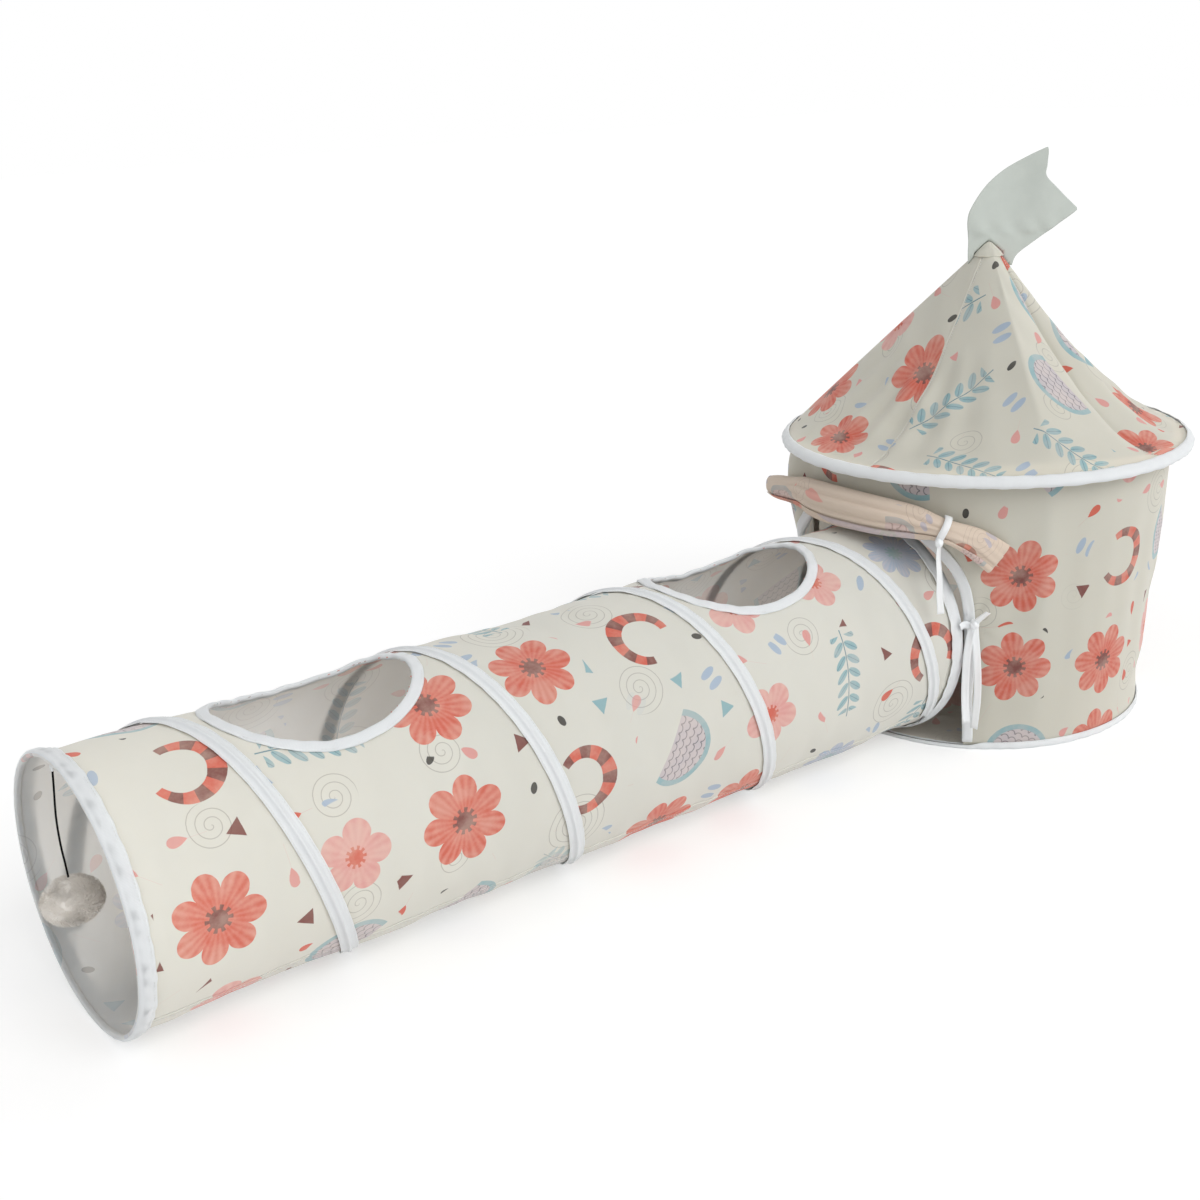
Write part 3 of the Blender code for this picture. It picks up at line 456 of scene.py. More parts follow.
def weave(u, v, pitch):
    """Height of a plain weave: threads of this pitch over and under each other."""
    across = (u * (math.pi / pitch)).sin()
    along = (v * (math.pi / pitch)).sin()
    return abs(across) * 0.5 + abs(along) * 0.5


def distance(x, y):
    return (x * x + y * y).power(0.5)


def cells(look, u, v, size, jitter, seed):
    """A jittered grid of motifs: turned coordinates about each one's middle, and its random numbers."""
    gu, gv = u / size + seed * 0.37, v / size + seed * 0.61
    cu, cv = gu.floor(), gv.floor()
    r = look.random(cu, cv, seed)
    x = (gu - cu - 0.5 - (r[0] - 0.5) * jitter) * size
    y = (gv - cv - 0.5 - (r[1] - 0.5) * jitter) * size
    turn = r[2] * TURN
    c, s = turn.cos(), turn.sin()
    return x * c + y * s, y * c - x * s, r


def flower(look, x, y, radius, petals, colour, heart):
    """Returns where the flower is and its colour there, as each motif does."""
    r = distance(x, y)
    a = y.node("ARCTAN2", x)
    wave = abs((a * (petals / 2)).cos())
    rim = radius * (0.62 + 0.38 * wave.power(0.6))
    streak = (a * (petals * 4.0)).sin() * 0.10 + 0.10
    shade = look.mix(streak * (r / radius), colour, srgb(255, 214, 200))
    middle = r.under(radius * 0.20)
    ring = r.under(radius * 0.30) * (a * 10.0).sin().over(0.0, 0.3)
    shade = look.mix(ring, shade, heart)
    return r.under(rim), look.mix(middle, shade, heart)


def sprig(look, x, y, half, colour, dark):
    """A stalk with pairs of leaves."""
    bent = y - (x * 26.0).sin() * 0.0035
    step = 0.0150
    near = x - (x / step + 0.5).floor() * step
    side = abs(bent) - 0.0092
    px = near * 0.80 + side * 0.60
    py = side * 0.80 - near * 0.60
    leaf = ((px / 0.0042).power(2.0) + (py / 0.0096).power(2.0)).power(0.5)
    ends = abs(x).under(half)
    stalk = abs(bent).under(0.0007) * abs(x).under(half + 0.006)
    vein = abs(px).under(0.0004) * ends
    shade = look.mix(vein.most(stalk), colour, dark)
    return (leaf.under(1.0, 0.10) * ends).most(stalk), shade


def scallops(look, x, y, radius, colour, dark, edge):
    """A fan of overlapping scallops with a plain border."""
    r = distance(x, y)
    step = 0.0095
    row = (y / (step * 0.8)).floor()
    odd = (row * 0.5).fract()
    lx = (x / step + odd).fract() - 0.5
    ly = (y / (step * 0.8)).fract()
    arc = abs((lx * lx + ly * ly * 0.8).power(0.5) - 0.46).under(0.07, 0.06)
    shade = look.mix(arc, colour, dark)
    shade = look.mix(r.over(radius * 0.84), shade, edge)
    return r.under(radius) * y.over(-radius * 0.25), shade


def striped_arc(look, x, y, radius, wide, light, dark):
    r = distance(x, y)
    a = y.node("ARCTAN2", x)
    where = abs(r - radius).under(wide * (1.0 - abs(a) * 0.22)) * abs(a).under(2.3, 0.03)
    return where, look.mix((a * 8.0).sin().over(0.0, 0.08), light, dark)


def spirals(look, u, v, ground):
    """Thin pencil spirals on the plain ground."""
    x, y, r = cells(look, u, v, 0.108, 0.30, 3.0)
    far = distance(x, y)
    a = y.node("ARCTAN2", x)
    coil = abs((far / 0.0075 - a / TURN).fract() - 0.5).under(0.055, 0.05)
    where = coil * far.under(0.012 + r[0] * 0.024) * r[3].over(0.25, 0.01)
    return look.mix(where * 0.8, ground, LINE)


def with_next(kinds, end):
    """Each kind with the number that its own share of the cells ends at."""
    return zip(kinds, [kind[0] for kind in kinds[1:]] + [end])


def chosen(number, low, high):
    return number.over(low, 0.001) * number.under(high, 0.001)


def small_motifs(look, u, v, clear, blot, shade):
    """Drops, pairs of leaves, corners and seeds, where the cloth is clear of the big motifs."""
    x, y, r = cells(look, u, v, 0.046, 0.34, 2.0)
    t = (y / 0.018 + 0.5).clamped()
    drop = abs(x).under(t.power(0.5) * (1.0 - t) * 0.0125) * t.over(0.001, 0.001)
    tip = (abs(x) * 0.87 + y * 0.5).most(y * -1.0).under(0.0052)
    seed = ((x / 0.0034).power(2.0) + (y / 0.0056).power(2.0)).under(1.0, 0.12)
    pair = (((abs(x) - 0.0065) / 0.0042).power(2.0) + (y / 0.0098).power(2.0)).under(1.0, 0.10)
    kinds = ((0.00, drop, PINK), (0.30, pair, BLUE), (0.48, tip, MAROON), (0.60, seed, BLACK),
             (0.70, drop, CORAL), (0.80, tip, TEAL))
    for (low, where, tint), high in with_next(kinds, 0.90):
        shade = look.mix(chosen(r[3], low, high) * where * clear * (0.80 + 0.2 * blot), shade, tint)
    return shade


def big_motifs(look, x, y, number, blot, shade):
    kinds = (
        (0.00, flower(look, x, y, 0.043, 7, CORAL, MAROON)),
        (0.22, sprig(look, x, y, 0.044, TEAL, srgb(86, 128, 140))),
        (0.40, scallops(look, x, y, 0.040, VIOLET, srgb(120, 116, 124), TEAL)),
        (0.56, flower(look, x, y, 0.034, 5, PINK, CORAL)),
        (0.70, striped_arc(look, x, y, 0.029, 0.0085, CORAL, MAROON)),
        (0.84, flower(look, x, y, 0.036, 9, BLUE, TEAL)),
    )
    for (low, (where, tint)), high in with_next(kinds, 1.01):
        here = chosen(number, low, high) * where
        washed = look.mix(blot.over(0.50, 0.25) * 0.22, tint, srgb(244, 222, 206))
        shade = look.mix(here * 0.93, shade, washed)
    return shade


def print_cloth(name, light, cream, wrong_side=None, through=0.75):
    """Printed polyester. light is the share of the print that shows: 1 outside, less on the wrong side."""
    look = Sheet(name, rough=0.78, Sheen_Weight=0.12, Sheen_Roughness=0.5, Specular_IOR_Level=0.28,
                 Subsurface_Weight=through, Subsurface_Scale=0.004, Subsurface_Radius=(1.0, 0.92, 0.84))
    uv = look.place("UV")
    u, v, _ = look.split(uv)
    wobble = look.noise(uv, 260.0, 2.0)
    u = u + (wobble - 0.5) * 0.0008
    blot = look.noise(uv, 42.0, 4.0, 0.6)
    ground = look.mix(look.noise(uv, 9.0, 3.0), srgb(*cream), srgb(*(tone - 3 for tone in cream)))
    shade = spirals(look, u, v, ground)
    x, y, r = cells(look, u, v, 0.118, 0.16, 1.0)
    clear = distance(x, y).over(0.053, 0.001)
    shade = small_motifs(look, u, v, clear, blot, shade)
    shade = big_motifs(look, x, y, r[3], blot, shade)
    if wrong_side:
        shade = look.mix(light, srgb(*wrong_side), shade)
    thread = weave(u, v, 0.0007)
    fibre = look.noise(uv, 900.0, 2.0)
    if not wrong_side:
        shade = look.mix(0.05 + 0.05 * thread, shade, srgb(170, 160, 145), "MULTIPLY")
    look.bump(thread + fibre * 0.5, 0.05 if wrong_side else 0.16, 0.0004)
    return look.finish(shade, 0.72 + fibre * 0.16)


def tape_cloth(name, tone):
    """Narrow woven binding tape with a ribbed surface."""
    look = Sheet(name, rough=0.62, Sheen_Weight=0.15, Specular_IOR_Level=0.35, Subsurface_Weight=0.45,
                 Subsurface_Scale=0.004, Subsurface_Radius=(1.0, 1.0, 1.0))
    pitch = 0.0011
    uv = look.place("UV")
    u, v, _ = look.split(uv)
    rib = abs((u * (math.pi / pitch)).sin())
    cross = abs((v * (math.pi / (pitch * 0.6))).sin())
    soil = look.noise(uv, 24.0, 4.0, 0.6)
    base = look.mix(soil, tone, tuple(c * 0.90 for c in tone))
    base = look.mix(rib * 0.10, base, srgb(150, 158, 170))
    look.bump(rib * 0.7 + cross * 0.3 + look.noise(uv, 700.0, 2.0) * 0.3, 0.25, 0.0004)
    return look.finish(base, 0.55 + soil * 0.18)


def wire_steel():
    look = Sheet("spring_steel", rough=0.34, metallic=1.0)
    grain = look.noise(look.place("Object"), 1600.0, 3.0)
    tone = look.mix(grain, srgb(176, 178, 182), srgb(128, 130, 134))
    look.bump(grain, 0.12, 0.0002)
    return look.finish(tone, 0.26 + grain * 0.2)


def grained(name, light, dark, rough, scale, strength=0.15, **fixed):
    """A moulded or drawn material with a fine grain and slow changes of tone."""
    look = Sheet(name, rough=rough, **fixed)
    spot = look.place("Object")
    grain = look.noise(spot, scale, 3.0)
    slow = look.noise(spot, scale / 25, 3.0)
    look.bump(grain, strength, 0.0003)
    return look.finish(look.mix(slow * 0.7 + grain * 0.3, light, dark), rough - 0.08 + grain * 0.16)


# Mesh helpers
def unit(vectors):
    """The same directions, each with a length of one."""
    return vectors / np.linalg.norm(vectors, axis=-1, keepdims=True)


def run_along(points):
    """The distance run along a line, at each of its points."""
    return np.concatenate([[0.0], np.cumsum(np.linalg.norm(np.diff(points, axis=0), axis=1))])


def at_spots(spots, run, values):
    """Values given along a line, read at other distances along it."""
    return np.stack([np.interp(spots, run, values[:, i]) for i in range(values.shape[1])], 1)


def full_turn(count):
    """Angles spread evenly over a turn, without its end."""
    return np.arange(count) / count * TURN


def round_grid(low, high, rows, columns):
    """Two grids: a value that grows row by row, and the angle round."""
    return np.meshgrid(np.linspace(low, high, rows), full_turn(columns), indexing="ij")


def new_object(name, points, faces, uvs=None, materials=(), smooth=True):
    """uvs is one pair for each face corner."""
    mesh = bpy.data.meshes.new(name)
    mesh.from_pydata([tuple(map(float, p)) for p in points], [], [tuple(map(int, f)) for f in faces])
    if uvs is not None:
        layer = mesh.uv_layers.new(name="UVMap")
        layer.data.foreach_set("uv", np.asarray(uvs, np.float32).ravel())
    for found in materials:
        mesh.materials.append(found)
    if smooth:
        mesh.shade_smooth()
    mesh.update()
    obj = bpy.data.objects.new(name, mesh)
    bpy.context.scene.collection.objects.link(obj)
    return obj


def grid_faces(rows, columns, across=False, along=False):
    """Quads of a grid of points, row by row. across and along join its last column or row to the first."""
    faces = []
    for r in range(rows if along else rows - 1):
        for c in range(columns if across else columns - 1):
            n, d = (c + 1) % columns, (r + 1) % rows
            faces.append((r * columns + c, r * columns + n, d * columns + n, d * columns + c))
    return faces


def tube_uvs(rows, columns, uv, along=False):
    """Cloth coordinates at the corners of a tube's faces. uv(r, c) takes the unwrapped row and column."""
    table = np.array([[uv(r, c) for c in range(columns + 1)] for r in range(rows + 1)], float)
    out = []
    for r in range(rows if along else rows - 1):
        for c in range(columns):
            out += [table[r, c], table[r, c + 1], table[r + 1, c + 1], table[r + 1, c]]
    return np.array(out)


def corner_uvs(u, v, faces):
    """The pair at each face corner, from one pair for each point."""
    table = np.stack([u, v], -1).reshape(-1, 2)
    return table[np.concatenate([np.ravel(face) for face in faces])]


def end_caps(rows, columns):
    """The two faces that close a tube at its ends."""
    return [tuple(range(columns))[::-1], tuple(range((rows - 1) * columns, rows * columns))]


def ring_rows(rows, columns, spots, uv, around, opening):
    """The faces and corner pairs of each row of a cloth ring, less those whose middle is in an opening.

    around is what the pairs grow by over a full turn."""
    for r in range(rows - 1):
        faces, corners = [], []
        for c in range(columns):
            n = (c + 1) % columns
            quad = [r * columns + c, r * columns + n, (r + 1) * columns + n, (r + 1) * columns + c]
            if n and opening(*spots[quad].mean(0)):
                continue
            pairs = uv[quad]
            if n == 0:
                pairs[1:3] += around
            faces.append(quad)
            corners.append(pairs)
        yield faces, corners


def drop_loose(obj):
    """Takes out points that no face uses, and turns every face outwards."""
    shape = bmesh.new()
    shape.from_mesh(obj.data)
    bmesh.ops.delete(shape, geom=[v for v in shape.verts if not v.link_faces], context="VERTS")
    bmesh.ops.recalc_face_normals(shape, faces=shape.faces)
    shape.to_mesh(obj.data)
    shape.free()


def applied(obj):
    bpy.context.view_layer.update()
    graph = bpy.context.evaluated_depsgraph_get()
    shown = obj.evaluated_get(graph)
    mesh = bpy.data.meshes.new_from_object(shown, preserve_all_data_layers=True, depsgraph=graph)
    old = obj.data
    obj.modifiers.clear()
    obj.data = mesh
    bpy.data.meshes.remove(old)
    return obj


def solid_cloth(obj, thick=SHEET_THICK):
    """Gives one layer its thickness: inwards where it has a second material for its inner side."""
    lined = len(obj.data.materials) - 1
    modifier = obj.modifiers.new("thickness", "SOLIDIFY")
    modifier.thickness = thick
    modifier.offset = -1.0 if lined else 0.0
    modifier.use_even_offset = False
    modifier.material_offset = lined
    return applied(obj)


def cloth_sheet(name, points, faces, uvs, materials, thick=SHEET_THICK):
    obj = new_object(name, points.reshape(-1, 3), faces, uvs, materials)
    drop_loose(obj)
    return solid_cloth(obj, thick)


def cloth_of_rows(name, points, rows, materials):
    """A sheet from rows that ring_rows gives."""
    faces = [face for made, _ in rows for face in made]
    pairs = np.concatenate([pair for _, made in rows for pair in made])
    return cloth_sheet(name, points, faces, pairs, materials)


def swept(name, sections, uvs, material, closed=True):
    """A tube through closed sections of points. closed joins the last section to the first."""
    sections = np.asarray(sections, float)
    rows, columns = sections.shape[:2]
    faces = grid_faces(rows, columns, across=True, along=closed)
    corner = tube_uvs(rows, columns, uvs, along=closed)
    if not closed:
        faces += end_caps(rows, columns)
        corner = np.concatenate([corner, np.zeros((2 * columns, 2))])
    obj = new_object(name, sections.reshape(-1, 3), faces, corner, (material,))
    drop_loose(obj)
    return obj


def round_wire(name, line, radius, material, sides=12):
    ahead = unit(np.gradient(line, axis=0))
    side = np.cross(ahead[0], (0, 0, 1) if abs(ahead[0][2]) < 0.9 else (1, 0, 0))
    a = full_turn(sides)
    sections = []
    for point, way in zip(line, ahead):
        side = unit(side - way * side.dot(way))
        other = np.cross(way, side)
        sections.append(point + np.outer(np.cos(a), side) * radius + np.outer(np.sin(a), other) * radius)
    run = run_along(line)
    run = np.append(run, run[-1])
    return swept(name, sections, lambda r, c: (run[r], c / sides * TURN * radius), material, closed=False)


def tape_outline(profile, thick=TAPE_THICK, reach=1.0):
    """An open profile given a thickness: its outline, the way out at each point, and the run round it.

    The profile's first values are shares of reach."""
    path = np.array(profile) * (reach, 1.0)
    way = np.gradient(path, axis=0)
    way = unit(np.stack([-way[:, 1], way[:, 0]], 1))
    loop = np.concatenate([path, (path - way * thick)[::-1]])
    run = run_along(loop)
    return loop, np.concatenate([way, way[::-1]]), np.append(run, run[-1] + thick)


def stitches(name, line, normals, thread):
    """A row of sewing stitches that lies on a surface along a line."""
    pitch, long, wide = 0.0034, 0.0024, 0.0005
    run = run_along(line)
    spots = np.arange(pitch / 2, run[-1], pitch)
    centre = at_spots(spots, run, line)
    ahead = unit(at_spots(spots + 1e-4, run, line) - centre)
    up = unit(at_spots(spots, run, normals))
    side = np.cross(ahead, up)
    form = [(-0.5, 0, -0.1), (-0.3, 0.5, 0.05), (-0.3, -0.5, 0.05), (-0.25, 0, 0.5), (0.3, 0.5, 0.05),
            (0.3, -0.5, 0.05), (0.25, 0, 0.5), (0.5, 0, -0.1)]
    faces = [(0, 2, 3), (0, 3, 1), (3, 2, 5, 6), (1, 3, 6, 4), (7, 6, 5), (7, 4, 6), (0, 1, 4, 7),
             (0, 7, 5, 2)]
    points = np.stack([centre + ahead * (a * long) + side * (b * wide) + up * (c * wide)
                       for a, b, c in form], 1)
    every = [tuple(i + 8 * k for i in f[::-1]) for k in range(len(spots)) for f in faces]
    return new_object(name, points.reshape(-1, 3), every, None, (thread,))


def joined(name, pieces):
    """Several meshes as one piece."""
    bpy.ops.object.select_all(action="DESELECT")
    for piece in pieces:
        piece.select_set(True)
    bpy.context.view_layer.objects.active = pieces[0]
    bpy.ops.object.join()
    pieces[0].name = name
    return pieces[0]


def waves(count, low, high, seed):
    """A sum of sines in two directions that repeats smoothly: a soft, settled unevenness from -1 to 1."""
    draw = np.random.default_rng(seed)
    ku, kv = draw.uniform(low, high, count), draw.integers(1, 7, count)
    sign, phase = draw.choice([-1, 1], count), draw.uniform(0, TURN, count)

    def field(u, angle):
        total = 0.0
        for a, b, s, p in zip(ku, kv, sign, phase):
            total = total + np.sin(a * u + s * b * angle + p)
        return total / math.sqrt(count)

    return field


def smooth_step(value, low, high):
    share = np.clip((value - low) / (high - low), 0.0, 1.0)
    return share * share * (3 - 2 * share)


def dressed(obj, node, slot):
    """Shows a piece in the place of a CAD node and gives it its material's name."""
    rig.replaces(obj, node)
    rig.slot(obj, slot)
    return obj


def bound(made, place, node):
    """Places a binding, which stands for a CAD node, and its row of stitches."""
    band, row = made
    dressed(place(band), node, "tape")
    place(row)


# The tunnel
def lift(x):
    return LIFT * np.clip((x - RAMP_END + RAMP_LENGTH) / RAMP_LENGTH, 0.0, 1.0)


def tunnel_points(x, radius, turn):
    """Points of the tunnel: turn is the angle from the bottom, rising on the far side."""
    y = radius * np.sin(turn)
    z = AXIS_HEIGHT - radius * np.cos(turn) + lift(x)
    z = z + 0.0013 * smooth_step(np.cos(turn), 0.86, 1.0)
    lean = MOUTH_TURN * y * np.clip(1.0 - (x - MOUTH_X) / MOUTH_TURN_REACH, 0.0, 1.0)
    return np.stack(np.broadcast_arrays(x + lean, y, z), axis=-1)


def tunnel_normal(turn):
    return np.stack([0 * turn, np.sin(turn), -np.cos(turn)], -1)


def coil_x(turn):
    """Where the spring is along the tunnel: a closed loop at each end and open turns between them."""
    share = turn / TURN
    main = MOUTH_X - COIL_OVERRUN + COIL_PITCH * share
    near = MOUTH_X + COIL_REST + LOOP_STEP * share
    far = TENT_X - COIL_REST + LOOP_STEP * (share - COIL_TURNS)
    after = (near + main + np.hypot(near - main, LOOP_BLEND)) / 2
    return (after + far - np.hypot(after - far, LOOP_BLEND)) / 2


def coil_distance(x, turn):
    """How far the spring is along the tunnel, back and ahead."""
    share = (turn % TURN) / TURN
    marks = [np.full_like(x, MOUTH_X)]
    for k in range(COIL_TURNS):
        marks.append(np.clip(MOUTH_X - COIL_OVERRUN + COIL_PITCH * (share + k), MOUTH_X, TENT_X))
    marks.append(np.full_like(x, TENT_X))
    marks = np.stack(marks)
    below = np.where(marks <= x, marks, -10.0).max(0)
    above = np.where(marks > x, marks, 10.0).min(0)
    return x - below, above - x


settle = waves(9, 22.0, 60.0, 5)
ripple = waves(9, 90.0, 200.0, 6)


def skin_radius(x, turn):
    """The cloth is taut on the spring and sinks a little between its turns."""
    left, right = coil_distance(x, turn)
    span = np.maximum(left + right, 0.02)
    share = np.clip(left / span, 0.0, 1.0)
    waist = 4 * share * (1 - share) * np.clip(span / 0.2, 0.0, 1.0)
    top = (1 - np.cos(turn)) / 2
    sag = 0.0018 * waist * (0.5 + 1.1 * top)
    calm = np.clip(waist * 1.6, 0.0, 1.0)
    near = np.minimum(left, right)
    gathers = np.sin(turn * 58 + 7 * np.sin(turn * 3))
    pucker = np.exp(-near / 0.010) * np.clip(near / 0.004, 0, 1) * gathers * 0.0005
    floor = smooth_step(np.cos(turn), 0.80, 0.98)
    rough = calm * (0.0014 * settle(x, turn) + 0.0004 * ripple(x, turn)) * (1 - 0.8 * floor)
    return TUNNEL_RADIUS - 0.0004 - sag * (1 - 0.7 * floor) + rough - 0.0004 + pucker


def in_hole(x, turn, centre):
    """Under 1 inside the hole's outline."""
    return ((x - centre) / HOLE_LONG) ** 2 + ((turn - math.pi) * TUNNEL_RADIUS / HOLE_ARC) ** 2


def hole_edge(centre, angle, grow=0.0):
    """A point of the hole's outline, or this far outside it, as a place along the tunnel and a turn."""
    x = centre + (HOLE_LONG + grow) * np.cos(angle)
    return x, math.pi + (HOLE_ARC + grow) * np.sin(angle) / TUNNEL_RADIUS


def snap_to_hole(x, turn, centre):
    """Moves the grid points nearest the hole's outline on to it, in place."""
    dx = (x - centre) / HOLE_LONG
    dt = (turn - math.pi) * TUNNEL_RADIUS / HOLE_ARC
    size = np.hypot(dx, dt)
    close = np.abs(size - 1.0) < 0.026
    scale = np.where(close, 1.0 / np.maximum(size, 1e-6), 1.0)
    x[:] = np.where(close, centre + dx * scale * HOLE_LONG, x)
    turn[:] = np.where(close, math.pi + dt * scale * HOLE_ARC / TUNNEL_RADIUS, turn)


def tunnel_skin(outside, inside):
    rows, columns = 224, 180
    x, turn = round_grid(MOUTH_X + 0.0009, TENT_X - 0.0009, rows, columns)
    for centre in HOLE_CENTRES:
        snap_to_hole(x, turn, centre)
    points = tunnel_points(x, skin_radius(x, turn), turn)
    uv = np.stack([x, turn * TUNNEL_RADIUS], -1).reshape(-1, 2)

    def opening(along, arc):
        return any(in_hole(along, arc / TUNNEL_RADIUS, centre) < 0.985 for centre in HOLE_CENTRES)

    made = list(ring_rows(rows, columns, uv, uv, (0.0, TURN * TUNNEL_RADIUS), opening))
    return cloth_of_rows("cloth_tube", points, made, (outside, inside))


def spring_wire(steel):
    """The spring in its tape, as one round wire."""
    turns = np.arange(-TURN, TURN * (COIL_TURNS + 1), TURN / 90)
    line = tunnel_points(coil_x(turns), TUNNEL_RADIUS + TAPE_STAND + COIL_WIRE / 2, turns)
    return round_wire("spring_wire", line, COIL_WIRE / 2 - 0.0001, steel, 8)


def spring_tape(white):
    """The white tape over the spring: a hump over the wire, two stitched edges that ripple a little."""
    half, near, far = COIL_TAPE_WIDTH / 2, MOUTH_X + END_BINDING + 0.0003, TENT_X - END_BINDING - 0.0003
    step, clear = TURN / 120, 0.0045
    spots = np.array([-1.0, -0.97, -0.75, -0.45, -0.24, -0.14, 0.0, 0.14, 0.24, 0.45, 0.75, 0.97, 1.0]) * half
    rise = np.array([0.0, 0.1, 0.0, 0.06, 0.45, 0.88, 1.0, 0.88, 0.45, 0.06, 0.0, 0.1, 0.0]) * 0.0024
    sections = []
    for t in np.arange(0.0, TURN * COIL_TURNS + 0.01, step):
        middle = coil_x(t)
        if middle + clear > far or middle - clear < near:
            continue
        xs = np.clip(middle + spots, near, far)
        drift = 0.0004 * np.sin(t * 31 + 2 * np.sin(t * 5)) * (np.abs(spots) / half) ** 2
        top = np.minimum(TUNNEL_RADIUS + TAPE_STAND + rise + drift + 0.0006, BAND_OUTER - 0.0001)
        under = tunnel_points(xs, top - TAPE_THICK, t)
        sections.append(np.concatenate([tunnel_points(xs, top, t), under[::-1]]))
    flat = np.concatenate([spots, spots[::-1]])

    def spot(r, c):
        return r * step * 0.131, flat[c % len(flat)]

    return swept("spring_tape_cloth", sections, spot, white, closed=False)


def tape_stitches(thread):
    """Two rows along the spring tape, near its edges."""
    made = []
    for name, side in (("left", -1), ("right", 1)):
        turns = np.arange(0.05, TURN * COIL_TURNS, TURN / 160)
        x = coil_x(turns) + side * COIL_TAPE_WIDTH * 0.42
        keep = (x > MOUTH_X + END_BINDING + 0.001) & (x < TENT_X - END_BINDING - 0.001)
        turns, x = turns[keep], x[keep]
        line = tunnel_points(x, TUNNEL_RADIUS + 0.0013 + 0 * x, turns)
        made.append(stitches(f"spring_tape_stitches_{name}", line, tunnel_normal(turns), thread))
    return made


def end_binding(name, edge, inward, white, thread, cloth):
    """White tape puffed over the spring's end loop, stitched near its lip; the cloth's hem lies inside it."""
    outer = [(1.0, 0.0007), (0.93, 0.0012), (0.80, 0.0010), (0.66, 0.0022), (0.45, 0.0033), (0.25, 0.0036),
             (0.10, 0.0033), (0.02, 0.0022), (0.0, 0.0010)]
    inner = [(0.0, -0.0006), (0.03, -0.0014), (0.10, -0.0018), (0.20, -0.0017), (0.30, -0.0016)]
    loop, _, width = tape_outline(outer + inner, reach=END_BINDING)
    half, columns, count = len(outer + inner), len(loop), 200
    number = np.arange(columns)
    hem_front = (number > len(outer)) & (number < half)
    hem_back = (number >= half) & (number < 2 * half - len(outer) - 1)
    lip = np.clip(loop[:, 0] / END_BINDING, 0, 1)
    sections = []
    for t in full_turn(count):
        swell = 0.00035 * math.sin(t * 46 + 2 * math.sin(t * 4)) + 0.0003 * math.sin(t * 17 + 1)
        radius = TUNNEL_RADIUS + loop[:, 1] + swell * (0.35 + lip) * np.sign(loop[:, 1])
        radius = np.minimum(radius, BAND_OUTER + 0.0004)
        radius = np.where(loop[:, 1] < -0.0007, np.minimum(radius, TUNNEL_RADIUS - 0.0009), radius)
        across = edge + inward * (loop[:, 0] + 0.0004 * math.sin(t * 29 + 3) * lip)
        under = skin_radius(across, np.full_like(across, t)) - np.where(hem_back, 0.0014, 0.0009)
        radius = np.where(hem_front | hem_back, np.minimum(radius, under), radius)
        sections.append(tunnel_points(across, radius, t))
    step = TURN * TUNNEL_RADIUS / count
    first = len(outer) - 1
    last = columns - 1 - first

    def spot(r, c):
        inside = first <= c <= last
        return (edge + inward * loop[c, 0], r * step) if inside else (r * step, width[c])

    band = swept(name, sections, spot, white)
    band.data.materials.append(cloth)
    sides = [int(first <= k % columns < last) for k in range(len(band.data.polygons))]
    band.data.polygons.foreach_set("material_index", sides)
    turns = np.linspace(0, TURN, 240)
    level = 0 * turns
    line = tunnel_points(edge + inward * 0.86 * END_BINDING + level, TUNNEL_RADIUS + 0.0014 + level, turns)
    return band, stitches(name + "_stitches", line, tunnel_normal(turns), thread)


def hole_binding(number, white, thread):
    """Soft white tape folded over the edge of a round hole."""
    centre = HOLE_CENTRES[number - 1]
    outer = [(1.0, 0.0004), (0.9, 0.0012), (0.7, 0.0014), (0.4, 0.0018), (0.1, 0.0022), (-0.08, 0.0018),
             (-0.14, 0.0004)]
    inner = [(-0.12, -0.0012), (0.0, -0.0022), (0.4, -0.0020), (0.8, -0.0016), (1.0, -0.0012)]
    loop, _, width = tape_outline(outer + inner, reach=HOLE_BINDING)
    sections = []
    for a in full_turn(170):
        x, turn = hole_edge(centre, a, loop[:, 0])
        slack = 0.0005 * math.sin(a * 21 + 2 * math.sin(a * 3)) + 0.0004 * math.sin(a * 9 + 1)
        sections.append(tunnel_points(x, skin_radius(x, turn) + loop[:, 1] + slack, turn))
    name = f"hole_{number}_tape"
    band = swept(name, sections, lambda r, c: (r * 0.0032, width[c]), white)
    x, turn = hole_edge(centre, np.linspace(0, TURN, 200), 0.8 * HOLE_BINDING)
    line = tunnel_points(x, skin_radius(x, turn) + 0.0016, turn)
    return band, stitches(name + "_stitches", line, tunnel_normal(turn), thread)


def lengthwise_seam(outside, thread):
    """The felled seam that closes the cloth tube, low on its near side, with its row of stitches."""
    xs = np.linspace(MOUTH_X + END_BINDING - 0.004, TENT_X - END_BINDING + 0.004, 320)
    sections = []
    for x in xs:
        wander = 0.0005 * math.sin(x * 90 + 2 * math.sin(x * 21))
        turns = [SEAM_TURN + (side * SEAM_HALF + wander) / TUNNEL_RADIUS for side, _ in SEAM_FORM]
        turns, place = np.array(turns), np.full(len(SEAM_FORM), x)
        rise = np.array([high for _, high in SEAM_FORM])
        sections.append(tunnel_points(place, skin_radius(place, turns) + rise, turns))

    def spot(r, c):
        return xs[min(r, len(xs) - 1)], SEAM_TURN * TUNNEL_RADIUS + SEAM_FORM[c % 8][0] * SEAM_HALF

    strip = swept("tunnel_seam", sections, spot, outside, closed=False)
    turns = SEAM_TURN + SEAM_STITCH / TUNNEL_RADIUS + 0 * xs
    line = tunnel_points(xs, skin_radius(xs, turns) + 0.0009, turns)
    return strip, stitches("tunnel_seam_stitches", line, tunnel_normal(turns), thread)


def fold_with_tunnel(obj):
    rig.ride(obj, "tunnel")
    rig.squash(obj, "tunnel_fold", axis=(1, 0, 0), anchor=(TENT_X - END_BINDING, 0, 0), keep=0.0312)
    return obj


